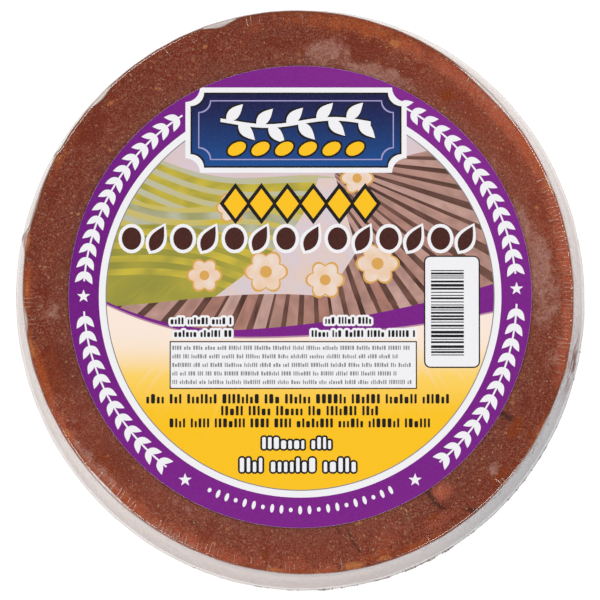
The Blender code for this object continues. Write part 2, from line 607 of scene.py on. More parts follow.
class FilmSettings(PropertyGroup):
    """The clear shrink film, its pleats and its weld."""

    thickness: size("Thickness", "Thickness of the film, coarser than the real 0.02 mm", 0.05)
    top_haze: share_of("Top haze", "How milky the film is over the flat top", 0.002)
    side_haze: share_of("Side haze", "How milky the film is where it is drawn over the top rim", 0.10)
    low_haze: share_of("Low haze", "How milky the film is where it stands off the block", 0.26)
    gap_haze: share_of("Gap haze", "How milky the film is where it spans a dent in the rim", 0.60)
    pleat_pitch: size("Pleat pitch", "Distance between neighbouring pleats", 0.95)
    pleat_length: size("Pleat length", "Length of a pleat at the top rim", 2.4)
    pleat_width: size("Pleat width", "Width of a pleat", 0.28)
    pleat_height: size("Pleat height", "Height of a pleat", 0.11)
    weld_radius: size("Weld radius", "Half the thickness of the melted bead along the weld", 0.22)
    clear: tint("Clear", "What light passing through keeps", "#fcfbfa")
    # Painted light: the milk is tinted warm with the sugar's light behind it.
    milk: tint("Milk", "The milky part of the film, warm from the sugar behind it", "#f6c8b4")
    gap_milk: tint("Gap milk", "The milky part where only air is behind it", "#e8dfda")
    # Painted highlight: the white of the light that the film's fine fold catches.
    fold_highlight: tint("Fold milk", "The fine fold where the film leaves the sugar over a dent", "#ffffff")
    sheen: tint("Sheen", "What the film reflects", "#eee8e5")
    shade: tint("Shade", "What the film reflects on its shaded side and close under the top rim", "#c0c4c8")
    stain: tint("Stain", "Where syrup has crept up under the film and dried", "#6a3428")
    weld_colour: tint("Weld colour", "The melted bead", "#7e6f67")
    seed: IntProperty(name="Seed", description="Changes the pleats and beads", default=11, min=0)


class LabelSettings(PropertyGroup):
    """The round printed label."""

    thickness: size("Thickness", "Thickness of the paper", 0.10)
    above_film: size("Above film", "Height of the paper's underside over the film", 0.015)
    paper: tint("Paper", "Bare coated paper", "#f2f1f4")
    purple: tint("Purple", "The ring round the edge", "#6d007e")
    # Painted light: the ring's purple where more light falls on it.
    lit_purple: tint("Thin purple", "The ring where its ink lies thinner", "#821c8c")
    cream: tint("Cream", "The upper end of the lower field", "#fbe8da")
    pale_yellow: tint("Pale yellow", "The middle of the lower field", "#fdd362")
    yellow: tint("Yellow", "The lower end of the lower field, and the marks", "#fcc30f")
    black: tint("Black", "Lines and bars", "#0e0809")
    brown: tint("Brown", "The second row of marks", "#44190f")
    navy: tint("Navy", "The upper end of the plaque", "#0e0c44")
    blue: tint("Blue", "The lower end of the plaque", "#0a4c92")
    lilac: tint("Lilac", "The plaque's frame line", "#a29acb")
    green: tint("Green", "Hills in full light", "#cdb83c")
    deep_green: tint("Deep green", "Hills in shade", "#8f8d38")
    pale_green: tint("Pale green", "Hills far off", "#bcbca6")
    mauve: tint("Mauve", "The sky and the path", "#d8cbd4")
    rose: tint("Rose", "The warm side of the sky", "#e0bdb4")
    furrow: tint("Furrow", "The top of a furrow", "#b07d6e")
    deep_furrow: tint("Deep furrow", "The shade in a furrow", "#46291f")
    petal: tint("Petal", "Petals, and the warm side of the path", "#ecc8a6")
    petal_edge: tint("Petal edge", "The edge and the middle of a flower", "#dba552")


class StageSettings(PropertyGroup):
    """The camera, the lights and the floor."""

    distance: FloatProperty(
        name="Distance", description="From the camera to the labelled face", default=1.30, unit="LENGTH"
    )
    tilt: FloatProperty(
        name="Tilt", description="How far the camera leans from straight above", default=math.radians(3.9),
        subtype="ANGLE",
    )
    field: size("Field", "Width of the view at the labelled face", 131.6)
    lamp_power: strength("Lamp power", "Power of each softbox, in watts", 3.55)
    room: strength("Room light", "Strength of the even light from all round", 0.14)
    table_glow: strength("Table glow", "Light that the white table gives off", 0.90)


class SugarBlockSettings(PropertyGroup):
    """All the settings, one group for each kind of piece."""

    sugar: PointerProperty(type=SugarSettings)
    grains: PointerProperty(type=GrainSettings)
    film: PointerProperty(type=FilmSettings)
    label: PointerProperty(type=LabelSettings)
    stage: PointerProperty(type=StageSettings)


# ---- The sugar ----

SUGAR_UNDERSIDE = 0.32 * MM  # the block's underside, over the table
SUGAR_WIDEST = 4.0 * MM  # the height of the lower rim
SUGAR_HOLLOW = SIDE_HOLLOW + 0.12 * MM
SUGAR_COLUMNS = 800
SUGAR_STEPS = {
    "top": np.concatenate([[0.25, 0.55, 0.75, 0.80], np.linspace(0.815, 1.0, 46)]),
    "bend": 7,
    "side": 30,
    "under": 6,
    "base": (0.93, 0.85, 0.74, 0.6, 0.45, 0.28, 0.12),
}


def sugar_look(given):
    """Cane juice boiled down, poured and set: fine-grained, cloudy, with frosted and glassy patches."""
    look, tree, shader = new_look("Unrefined cane sugar, poured and set")
    place = node(tree, "ShaderNodeTexCoord").outputs["Object"]
    mask = {
        name: node(tree, "ShaderNodeAttribute", attribute_name=name).outputs["Fac"]
        for name in (*PATCHES, "rim", "dry", "crack")
    }

    # Noises, each a width, a detail and a roughness: clouds as wide as a thumbnail, from syrup that set
    # at different speeds; crystal grain of about 1 mm and finer; fine crystals of 0.3 to 0.4 mm; what
    # breaks up the patches' edges; and how light each grain is.
    clouds, grain, fine_grain, ragged, tones = (
        node(
            tree,
            "ShaderNodeTexNoise",
            {"Vector": place, "Scale": 1 / width, "Detail": detail, "Roughness": roughness},
        )
        for width, detail, roughness in (
            (5.5 * MM, 5.0, 0.65),
            (0.9 * MM, 5.0, 0.75),
            (0.36 * MM, 1.5, 0.7),
            (2.4 * MM, 6.0, 0.65),
            (0.30 * MM, 1.0, 0.6),
        )
    )
    # Clear patches take the opposite noise, so that frost and clear syrup fit together.
    opposite = node(tree, "ShaderNodeMath", {0: 1.0, 1: ragged}, operation="SUBTRACT")

    def patch(name, noise_in_edge, softness, most):
        """A patch's share: the noise eats into it from its edge, and it has none outside."""
        total = node(
            tree, "ShaderNodeMath", {0: noise_in_edge, 1: 2.6, 2: mask[name]}, operation="MULTIPLY_ADD"
        )
        top = node(tree, "ShaderNodeMapRange", {"Value": mask[name], "From Max": 0.3, "To Max": most})
        edge = {"Value": total, "From Min": 1.8 - softness, "From Max": 1.8 + softness, "To Max": top}
        return node(tree, "ShaderNodeMapRange", edge)

    def grains(spacing, largest, most):
        """Round grains set in the surface: most are small, and each fades out at its edge."""
        cells = node(tree, "ShaderNodeTexVoronoi", {"Vector": place, "Scale": 1 / spacing})
        chance = node(tree, "ShaderNodeSeparateColor", {"Color": cells.outputs["Color"]})
        squared = node(tree, "ShaderNodeMath", {0: chance, 1: chance}, operation="MULTIPLY")
        edge = node(tree, "ShaderNodeMath", {0: squared, 1: largest / spacing}, operation="MULTIPLY")
        edge = node(tree, "ShaderNodeMath", {0: edge, 1: 0.001}, operation="ADD")
        fade = {"Value": cells.outputs["Distance"], "From Max": edge, "To Min": most, "To Max": 0.0}
        return node(tree, "ShaderNodeMapRange", fade)

    dark = patch("dark", opposite, 0.12, 0.95)
    glass = patch("glass", opposite, 0.15, 0.95)
    # Frost shows on the grain's lumps.
    lumpy = {"Value": grain, "From Min": 0.30, "From Max": 0.62, "To Max": 1.0}
    lumpy = node(tree, "ShaderNodeMapRange", lumpy)
    bloom = patch("bloom", ragged, 0.28, 0.95)
    frosted = node(tree, "ShaderNodeMath", {0: bloom, 1: lumpy}, operation="MULTIPLY")
    # Fine pale grains show less where the sugar is smooth: in clear patches and at the rim.
    smooth = node(tree, "ShaderNodeMath", {0: dark, 1: mask["rim"]}, operation="MAXIMUM")
    smooth = node(tree, "ShaderNodeMath", {0: smooth, 1: glass}, operation="MAXIMUM")
    rough = node(tree, "ShaderNodeMapRange", {"Value": smooth, "To Min": 1.0, "To Max": 0.45})
    powder = {"Value": fine_grain, "From Min": 0.40, "From Max": 0.72, "To Max": 0.50}
    powder = node(tree, "ShaderNodeMapRange", powder)
    powdery, fine = (
        node(tree, "ShaderNodeMath", {0: share, 1: rough}, operation="MULTIPLY")
        for share in (powder, grains(0.62 * MM, 0.42 * MM, 0.7))
    )
    colour = layered(
        tree,
        given.brown,
        (
            ((clouds, 0.42, 0.60, 0.34), given.deep_brown),
            ((grain, 0.50, 0.72, 0.36), given.tan),
            # Painted light through the thin edge.
            (mask["rim"], given.rim),
            # Painted glow near the rim.
            (patch("glow", ragged, 0.6, 0.85), given.glow),
            (dark, given.dark),
            # Painted light: broad stretches in the glow colour.
            (mask["warm"], given.glow),
            # Fine dust and a painted sheen of the film, thicker towards the label.
            ((mask["dry"], 0.0, 1.0, 0.09), given.dust_and_sheen),
            (frosted, given.bloom),
            (glass, given.amber),
            # The syrup's colour and the painted orange light through it.
            (patch("orange", ragged, 0.55, 0.9), given.orange),
            (patch("golden", grain, 0.35, 0.85), given.golden),
            (powdery, given.pale_speck),
            (fine, given.pale_speck),
            (grains(2.6 * MM, 0.75 * MM, 0.85), given.speck),
            # Painted shade inside the cracks.
            ((mask["crack"], 0.0, 1.0, 0.75), given.crack),
        ),
    )
    # Every patch is a little lighter and darker from grain to grain.
    spread = {"Value": tones, "From Min": 0.30, "From Max": 0.70, "To Min": 0.68, "To Max": 1.30}
    lightness = node(tree, "ShaderNodeMapRange", spread)
    colour = node(tree, "ShaderNodeHueSaturation", {"Color": colour, "Value": lightness})
    roughness = node(tree, "ShaderNodeMapRange", {"Value": glass, "To Min": 0.5, "To Max": 0.18})
    lumps = node(tree, "ShaderNodeMath", {0: grain, 1: ragged}, operation="ADD")
    bump = node(tree, "ShaderNodeBump", {"Height": lumps, "Strength": 0.5, "Distance": 0.12 * MM})
    finish(
        tree,
        shader,
        {
            "Base Color": colour,
            "Roughness": roughness,
            "Normal": bump,
            "IOR": 1.5,
            "Specular IOR Level": 0.06,
            "Subsurface Weight": 0.1,
            "Subsurface Radius": (1.0, 0.32, 0.16),
            "Subsurface Scale": 1.0 * MM,
        },
    )
    return look


def sugar_mesh(given):
    """The block: a poured disc with a dented rim, a slightly hollow side and a broad low relief."""
    form = RoundForm(SUGAR_COLUMNS)
    around = np.stack([np.cos(form.angle), np.sin(form.angle), 0 * form.angle], axis=-1)
    unevenness = noise_at(around, 0.16, 3)
    top_rim = reach(given.rim_radius, TOP_WAVES, form.angle) - dent_depth(form.angle, RIM_DENTS + RIM_BUMPS)
    top_rim += 0.10 * MM * np.minimum(noise_at(around, 0.05, 5), 0.1)
    low_rim = reach(LOWER_RADIUS - given.side_gap, LOWER_WAVES, form.angle)
    top = FILM_TOP - given.under_film
    bend = given.rim_round * (1 + 0.45 * unevenness)
    form.section(
        top_rim, low_rim, top, SUGAR_UNDERSIDE, bend, UNDER_EDGE, SUGAR_WIDEST, SUGAR_HOLLOW, SUGAR_STEPS
    )
    points, ways, _ = form.points()

    on_top = smooth_step((points[:, 2] - (top - 2.4 * MM)) / (1.6 * MM))
    crack = crease_depth(points) * on_top
    glass = patch_mask(points, PATCHES["glass"]) * on_top
    lift = given.relief * noise_at(points, 9 * MM, 8, octaves=2)
    lift += given.grain_relief * noise_at(points, 1.5 * MM, 9, octaves=2) * (1 - glass)
    lift -= given.crack_depth * crack
    from_edge = np.array(form.radii)
    # Near the rim: where the light through the thin edge is painted, and where the sugar is kept smooth.
    rim_width = 1.6 * MM
    rim = smooth_step((from_edge - (top_rim - rim_width)) / rim_width).ravel()
    rim = np.append(rim, (0.0, 0.0)) * smooth_step((points[:, 2] - (top - 3.0 * MM)) / (2 * MM))
    # The film is tight at the rim, so nothing stands up there that would pierce it.
    lift -= np.maximum(lift, 0.0) * np.minimum(1.5 * rim, 1.0)
    points += ways * lift[:, None]

    mesh = bpy.data.meshes.new("sugar_block")
    mesh.from_pydata(points.tolist(), [], form.faces())
    from_middle = np.hypot(points[:, 0] - LABEL_CENTRE.x, points[:, 1] - LABEL_CENTRE.y)
    # Where the dust and the painted sheen lie: thicker towards the label.
    dry = smooth_step((57.5 * MM - from_middle) / (7 * MM)) * on_top
    masks = {name: patch_mask(points, rows) * on_top for name, rows in PATCHES.items()}
    masks |= {"glass": glass, "rim": 0.8 * rim, "crack": crack, "dry": dry}
    for name, values in masks.items():
        set_attribute(mesh, name, values)
    mesh.materials.append(sugar_look(given))
    mesh.shade_smooth()
    return mesh


class SUGAR_OT_block(Operator):
    """Make the block of sugar inside the film"""

    bl_idname = "sugar_block.make_block"
    bl_label = "Sugar"

    def execute(self, context):
        piece = new_piece("sugar_block", sugar_mesh(context.scene.sugar_block.sugar))
        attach(piece, BODY)
        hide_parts("wrapped_block")
        return {"FINISHED"}


# ---- Node trees that strew and repeat ----


def new_tree(name, inputs):
    """A geometry node tree with a mesh, named sizes, a seed and a material as inputs, and their sockets."""
    tree = bpy.data.node_groups.new(name, "GeometryNodeTree")
    tree.interface.new_socket("Mesh", in_out="INPUT", socket_type="NodeSocketGeometry")
    tree.interface.new_socket("Mesh", in_out="OUTPUT", socket_type="NodeSocketGeometry")
    for label, kind in {**inputs, "Seed": "Int", "Material": "Material"}.items():
        tree.interface.new_socket(label, in_out="INPUT", socket_type="NodeSocket" + kind)
    return tree, node(tree, "NodeGroupInput").outputs


def close_tree(tree, given, shape):
    """The end of a tree: instances made real, then the material."""
    real = node(tree, "GeometryNodeRealizeInstances", {"Geometry": shape})
    painted = node(tree, "GeometryNodeSetMaterial", {"Geometry": real, "Material": given["Material"]})
    node(tree, "NodeGroupOutput", {"Mesh": painted})
    return tree


def grown(name, bed, tree, values):
    """Run a node tree on a bed mesh, and keep what it makes as a plain piece."""
    holder = new_piece(name + "_bed", bed)
    modifier = holder.modifiers.new(tree.name, "NODES")
    modifier.node_group = tree
    for item in tree.interface.items_tree:
        if item.in_out == "INPUT" and item.name in values:
            modifier[item.identifier] = values[item.name]
    shown = holder.evaluated_get(bpy.context.evaluated_depsgraph_get())
    mesh = bpy.data.meshes.new_from_object(shown)
    bpy.data.objects.remove(holder)
    if not mesh.polygons:
        raise RuntimeError(f"{name}: the node tree made nothing")
    mesh.name = name
    return new_piece(name, mesh)


def strewn_tree():
    """Lumpy grains strewn over a bed, as thickly as its crowd attribute says, each turned at random."""
    sizes = {"Density": "Float", "Size": "Float", "Form": "Vector", "Tumble": "Float", "Smallest": "Float"}
    tree, given = new_tree("Strewn grains", sizes)
    crowd = node(tree, "GeometryNodeInputNamedAttribute", {"Name": "crowd"})
    density = node(tree, "ShaderNodeMath", {0: crowd, 1: given["Density"]}, operation="MULTIPLY")
    scatter = {"Mesh": given["Mesh"], "Density": density, "Seed": given["Seed"]}
    spots = node(tree, "GeometryNodeDistributePointsOnFaces", scatter)
    ball = node(tree, "GeometryNodeMeshIcoSphere", {"Radius": 0.5, "Subdivisions": 2})
    lumps = node(tree, "ShaderNodeTexNoise", {"Scale": 1.7, "Detail": 1.0})
    halves = {0: lumps.outputs["Color"], 1: (0.5, 0.5, 0.5)}
    centred = node(tree, "ShaderNodeVectorMath", halves, operation="SUBTRACT")
    centred = node(tree, "ShaderNodeVectorMath", {0: centred, "Scale": 0.6}, operation="SCALE")
    grain = node(tree, "GeometryNodeSetPosition", {"Geometry": ball, "Offset": centred})
    shaped = node(tree, "GeometryNodeTransform", {"Geometry": grain, "Scale": given["Form"]})
    tips = {"Min": (-1.6, -1.6, 0.0), "Max": (1.6, 1.6, math.tau), "Seed": given["Seed"]}
    turns = node(tree, "FunctionNodeRandomValue", tips, data_type="FLOAT_VECTOR")
    tipping = node(tree, "ShaderNodeCombineXYZ", {"X": given["Tumble"], "Y": given["Tumble"], "Z": 1.0})
    turned = node(tree, "ShaderNodeVectorMath", {0: turns, 1: tipping}, operation="MULTIPLY")
    rotation = node(tree, "FunctionNodeEulerToRotation", {"Euler": turned})
    # Most grains are small: the random number is cubed before it becomes a size.
    chance = node(tree, "FunctionNodeRandomValue", {"Min": 0.0, "Max": 1.0, "Seed": given["Seed"]})
    cubed = node(tree, "ShaderNodeMath", {0: chance, 1: 3.0}, operation="POWER")
    share = node(tree, "ShaderNodeMapRange", {"Value": cubed, "To Min": given["Smallest"]})
    full = node(tree, "ShaderNodeMath", {0: share, 1: given["Size"]}, operation="MULTIPLY")
    strewing = {"Points": spots, "Instance": shaped, "Rotation": rotation, "Scale": full}
    strewn = node(tree, "GeometryNodeInstanceOnPoints", strewing)
    return close_tree(tree, given, strewn)


def pleat_tree():
    """Low ridges that run outwards over a rim, as thickly as the loop's crowd attribute says."""
    sizes = {"Pitch": "Float", "Length": "Float", "Width": "Float", "Height": "Float", "Centre": "Vector"}
    tree, given = new_tree("Pleats along a rim", sizes)
    loop = node(tree, "GeometryNodeMeshToCurve", {"Mesh": given["Mesh"]})
    spots = node(tree, "GeometryNodeResampleCurve", {"Curve": loop, "Length": given["Pitch"]}, mode="LENGTH")
    crowd = node(tree, "GeometryNodeInputNamedAttribute", {"Name": "crowd"})
    chance = node(tree, "FunctionNodeRandomValue", {"Min": 0.0, "Max": 1.0, "Seed": given["Seed"]})
    kept = node(tree, "FunctionNodeCompare", {"A": chance, "B": crowd}, operation="LESS_THAN")
    place = node(tree, "GeometryNodeInputPosition")
    outward = node(tree, "ShaderNodeVectorMath", {0: place, 1: given["Centre"]}, operation="SUBTRACT")
    flat = node(tree, "ShaderNodeVectorMath", {0: outward, 1: (1.0, 1.0, 0.0)}, operation="MULTIPLY")
    aligned = node(tree, "FunctionNodeAlignRotationToVector", {"Vector": flat}, axis="X")
    # Each pleat swings a little, has its own size, and starts at its own distance from the rim.
    swing, growth, start = (
        node(
            tree,
            "FunctionNodeRandomValue",
            {"Min": least, "Max": most, "Seed": given["Seed"]},
            data_type="FLOAT_VECTOR",
        )
        for least, most in (
            ((0.0, -0.05, -0.16), (0.0, 0.05, 0.16)),
            ((0.45, 0.6, 0.5), (1.35, 1.3, 1.3)),
            ((-0.7 * MM, 0.0, 0.0), (0.5 * MM, 0.0, 0.0)),
        )
    )
    swing = node(tree, "FunctionNodeEulerToRotation", {"Euler": swing})
    turning = {"Rotation": aligned, "Rotate By": swing}
    rotation = node(tree, "FunctionNodeRotateRotation", turning, rotation_space="LOCAL")
    ridge = node(tree, "GeometryNodeMeshUVSphere", {"Segments": 8, "Rings": 6, "Radius": 0.5})
    # The sphere's poles lie along the pleat, so it ends in two points.
    quarter = (0.0, math.pi / 2, 0.0)
    lying = node(tree, "GeometryNodeTransform", {"Geometry": ridge, "Rotation": quarter})
    sides = {"X": given["Length"], "Y": given["Width"], "Z": given["Height"]}
    form = node(tree, "ShaderNodeCombineXYZ", sides)
    shaped = node(tree, "GeometryNodeTransform", {"Geometry": lying, "Scale": form})
    placing = {"Points": spots, "Selection": kept, "Instance": shaped, "Rotation": rotation, "Scale": growth}
    placed = node(tree, "GeometryNodeInstanceOnPoints", placing)
    moved = node(tree, "GeometryNodeTranslateInstances", {"Instances": placed, "Translation": start})
    return close_tree(tree, given, node(tree, "GeometryNodeSetShadeSmooth", {"Geometry": moved}))


def weld_tree():
    """A melted bead along a loop: a thin uneven tube with drops strung along it."""
    tree, given = new_tree("Melted bead along a loop", {"Pitch": "Float", "Radius": "Float"})
    loop = node(tree, "GeometryNodeMeshToCurve", {"Mesh": given["Mesh"]})
    fine = node(tree, "GeometryNodeResampleCurve", {"Curve": loop, "Length": given["Pitch"]}, mode="LENGTH")
    place = node(tree, "GeometryNodeInputPosition")
    wander = node(tree, "ShaderNodeTexNoise", {"Vector": place, "Scale": 1 / (2.4 * MM), "Detail": 2.0})
    halves = {0: wander.outputs["Color"], 1: (0.5, 0.5, 0.5)}
    centred = node(tree, "ShaderNodeVectorMath", halves, operation="SUBTRACT")
    crowd = node(tree, "GeometryNodeInputNamedAttribute", {"Name": "crowd"})
    sway = node(tree, "ShaderNodeMath", {0: crowd, 1: 0.9 * MM}, operation="MULTIPLY")
    offset = node(tree, "ShaderNodeVectorMath", {0: centred, "Scale": sway}, operation="SCALE")
    ragged = node(tree, "GeometryNodeSetPosition", {"Geometry": fine, "Offset": offset})
    uneven = {"Value": wander, "From Min": 0.3, "From Max": 0.7, "To Min": 0.35, "To Max": 1.2}
    thickness = node(tree, "ShaderNodeMapRange", uneven)
    thickness = node(tree, "ShaderNodeMath", {0: thickness, 1: crowd}, operation="MULTIPLY")
    ring = node(tree, "GeometryNodeCurvePrimitiveCircle", {"Resolution": 6, "Radius": given["Radius"]})
    drawn = {"Curve": ragged, "Profile Curve": ring, "Scale": thickness}
    tube = node(tree, "GeometryNodeCurveToMesh", drawn)
    drop = node(tree, "GeometryNodeMeshIcoSphere", {"Radius": given["Radius"], "Subdivisions": 1})
    chance = node(tree, "FunctionNodeRandomValue", {"Min": 0.0, "Max": 1.0, "Seed": given["Seed"]})
    often = node(tree, "ShaderNodeMath", {0: crowd, 1: 4.0}, operation="POWER")
    kept = node(tree, "FunctionNodeCompare", {"A": chance, "B": often}, operation="LESS_THAN")
    fatter = {"Min": (0.7, 0.7, 0.7), "Max": (1.7, 1.7, 1.7), "Seed": given["Seed"]}
    growth = node(tree, "FunctionNodeRandomValue", fatter, data_type="FLOAT_VECTOR")
    stringing = {"Points": ragged, "Selection": kept, "Instance": drop, "Scale": growth}
    drops = node(tree, "GeometryNodeInstanceOnPoints", stringing)
    both = node(tree, "GeometryNodeJoinGeometry")
    tree.links.new(tube.outputs["Mesh"], both.inputs["Geometry"])
    tree.links.new(drops.outputs["Instances"], both.inputs["Geometry"])
    return close_tree(tree, given, node(tree, "GeometryNodeSetShadeSmooth", {"Geometry": both}))


# ---- Loose grains on the sugar ----


def grain_look(name, colour, roughness, clarity):
    """Broken sugar: dull where it is dry crumb, glossy and a little clear where it is one crystal."""
    look, tree, shader = new_look(name)
    place = node(tree, "ShaderNodeTexCoord").outputs["Object"]
    tone = node(tree, "ShaderNodeTexNoise", {"Vector": place, "Scale": 1 / (0.8 * MM), "Detail": 2.0})
    darker = (*(0.45 * shade for shade in colour[:3]), 1.0)
    mixed = layered(tree, colour, (((tone, 0.35, 0.65, 0.45), darker),))
    values = {"Base Color": mixed, "Roughness": roughness, "IOR": 1.54, "Transmission Weight": clarity}
    finish(tree, shader, values)
    return look


def top_ring_bed(mesh, crowd):
    """A copy of the sugar's mesh whose crowd attribute says where on its top's open ring grains lie."""
    bed = mesh.copy()
    set_attribute(bed, "crowd", crowd)
    return bed


class SUGAR_OT_grains(Operator):
    """Strew crumbs, crystals and slivers of cane over the sugar"""

    bl_idname = "sugar_block.make_grains"
    bl_label = "Loose grains"

    def execute(self, context):
        given = context.scene.sugar_block.grains
        sugar = bpy.data.objects.get("sugar_block")
        if sugar is None:
            raise RuntimeError("the sugar comes before its grains")
        tree = strewn_tree()
        points = np.empty(len(sugar.data.vertices) * 3, np.float32)
        sugar.data.vertices.foreach_get("co", points)
        points = points.reshape(-1, 3).astype(float)
        distance = np.hypot(points[:, 0] - LABEL_CENTRE.x, points[:, 1] - LABEL_CENTRE.y)
        open_ring = (distance > LABEL_RADIUS - 0.5 * MM) & (points[:, 2] > FILM_TOP - 0.9 * MM)
        even = np.clip(0.5 + noise_at(points, 6 * MM, 31), 0.05, 1.2)
        kinds = (
            (
                "sugar_crumbs",
                0.06 * even + patch_mask(points, CRUMB_PATCHES) ** 2,
                {"Density": 2.6e6, "Form": (1.0, 0.8, 0.55), "Tumble": 0.3, "Smallest": 0.28},
                given.crumb,
                grain_look("Dry cane sugar, crumbled", given.crumb_colour, 0.7, 0.0),
            ),
            (
                "sugar_crystals",
                even,
                {"Density": 0.55e6, "Form": (1.0, 0.8, 0.7), "Tumble": 1.0, "Smallest": 0.4},
                given.crystal,
                grain_look("Cane sugar crystal, broken", given.crystal_colour, 0.15, 0.25),
            ),
            (
                "cane_fibres",
                patch_mask(points, FIBRE_PATCHES),
                {"Density": 3.2e6, "Form": (1.0, 0.16, 0.16), "Tumble": 0.05, "Smallest": 0.7},
                given.fibre,
                grain_look("Cane fibre, scorched", given.fibre_colour, 0.8, 0.0),
            ),
        )
        for order, (name, crowd, values, length, look) in enumerate(kinds):
            values = {**values, "Size": length, "Seed": given.seed + order, "Material": look}
            piece = grown(name, top_ring_bed(sugar.data, crowd * open_ring), tree, values)
            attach(piece, BODY)
        return {"FINISHED"}


# ---- The film ----

FILM_UNDERSIDE = 0.02 * MM  # the film's underside, over the table
PLEAT_INSET = 1.4 * MM  # from the film's top rim in to the middle of a pleat
WELD_OUTSET = 0.1 * MM  # from the film's lower rim out to the middle of the weld
WELD_STEP = 0.7 * MM
FILM_COLUMNS = 480
FILM_STEPS = {
    "top": np.concatenate([[0.3, 0.6, 0.8], np.linspace(0.86, 0.97, 7), np.linspace(0.975, 1.0, 9)]),
    "bend": 5,
    "side": 22,
    "under": 6,
    "base": (0.93, 0.82, 0.66, 0.45, 0.2),
}
# How milky a pleat and the weld are: the same over the top, on the side and low down.
PLEAT_HAZES = (0.20, 0.20, 0.20)
WELD_HAZES = (0.62, 0.62, 0.62)


def film_look(name, given, milk, top_haze, side_haze, low_haze):
    """Polyolefin film shrunk by heat: clear and glossy, milky where it is stretched.

    Only faces that look outwards act, so light crosses each wall once.
    """
    look, tree, shader = new_look(name)
    tree.nodes.remove(shader)
    along = node(tree, "ShaderNodeAttribute", attribute_name="along").outputs["Vector"]
    mask = {
        name: node(tree, "ShaderNodeAttribute", attribute_name=name).outputs["Fac"]
        for name in ("side", "loose", "gap", "fold", "stain", "shade", "pucker")
    }

    def streaks(round_the_block, rim_to_rim):
        """Noise drawn out along the film."""
        scale = (1 / round_the_block, 1 / round_the_block, 1 / rim_to_rim)
        stretched = node(tree, "ShaderNodeMapping", {"Vector": along, "Scale": scale})
        return node(tree, "ShaderNodeTexNoise", {"Vector": stretched, "Scale": 1.0, "Detail": 3.0})

    # Streaks that run round the block, 14 mm long and 0.6 mm wide, make it more and less milky.
    fine = {"From Min": 0.3, "From Max": 0.7, "To Min": 0.90, "To Max": 1.10}
    fine = node(tree, "ShaderNodeMapRange", {"Value": streaks(14 * MM, 0.6 * MM), **fine})
    # Puckers that run from rim to rim, 1 mm wide and 7 mm long, bend what it reflects.
    puckers = {"Height": streaks(1.0 * MM, 7 * MM), "Strength": mask["pucker"], "Distance": 0.25 * MM}
    bump = node(tree, "ShaderNodeBump", puckers)
    # The haze: over the top, down the side, where the film stands off, and where each kind of mark is.
    haze = node(tree, "ShaderNodeMapRange", {"Value": mask["side"], "To Min": top_haze, "To Max": side_haze})
    standing_off = {0: mask["loose"], 1: low_haze - side_haze, 2: haze}
    haze = node(tree, "ShaderNodeMath", standing_off, operation="MULTIPLY_ADD")
    spanned = node(tree, "ShaderNodeMath", {0: mask["gap"], 1: given.gap_haze}, operation="MULTIPLY")
    for operation, other in (
        ("MULTIPLY", fine),
        ("MAXIMUM", spanned),
        ("MAXIMUM", mask["fold"]),
        ("MAXIMUM", mask["stain"]),
    ):
        haze = node(tree, "ShaderNodeMath", {0: haze, 1: other}, operation=operation)
    marks = {"loose": given.gap_milk, "gap": given.gap_milk, "fold": given.fold_highlight, "stain": given.stain}
    milky = layered(tree, milk, [(mask[name], colour) for name, colour in marks.items()])
    tone = layered(tree, given.sheen, ((mask["shade"], given.shade), (mask["stain"], given.stain)))
    clear = node(tree, "ShaderNodeBsdfTransparent", {"Color": given.clear})
    diffuse = node(tree, "ShaderNodeBsdfDiffuse", {"Color": milky, "Normal": bump})
    body = node(tree, "ShaderNodeMixShader", {0: haze, 1: clear, 2: diffuse})
    gloss = node(tree, "ShaderNodeBsdfAnisotropic", {"Color": tone, "Roughness": 0.10, "Normal": bump})
    fresnel = node(tree, "ShaderNodeFresnel", {"IOR": 1.49, "Normal": bump})
    # Both faces of the film mirror, so its share is 2F / (1 + F).
    twice = node(tree, "ShaderNodeMath", {0: fresnel, 1: 2.0}, operation="MULTIPLY")
    whole = node(tree, "ShaderNodeMath", {0: fresnel, 1: 1.0}, operation="ADD")
    mirrored = node(tree, "ShaderNodeMath", {0: twice, 1: whole}, operation="DIVIDE")
    front = node(tree, "ShaderNodeMixShader", {0: mirrored, 1: body, 2: gloss})
    back = node(tree, "ShaderNodeBsdfTransparent")
    facing = node(tree, "ShaderNodeNewGeometry").outputs["Backfacing"]
    both = node(tree, "ShaderNodeMixShader", {0: facing, 1: front, 2: back})
    tree.links.new(both.outputs["Shader"], tree.nodes["Material Output"].inputs["Surface"])
    return look


def pleat_crowd(angle):
    """How thickly the pleats stand at each angle, from 0 to 1."""
    crowd = np.full(len(angle), PLEATS_ELSEWHERE)
    for degrees, half, share in PLEAT_STRETCHES:
        away = np.abs(np.degrees(turned_away(angle, degrees)))
        crowd = np.maximum(crowd, share * smooth_step((half + 3 - away) / 6))
    return crowd


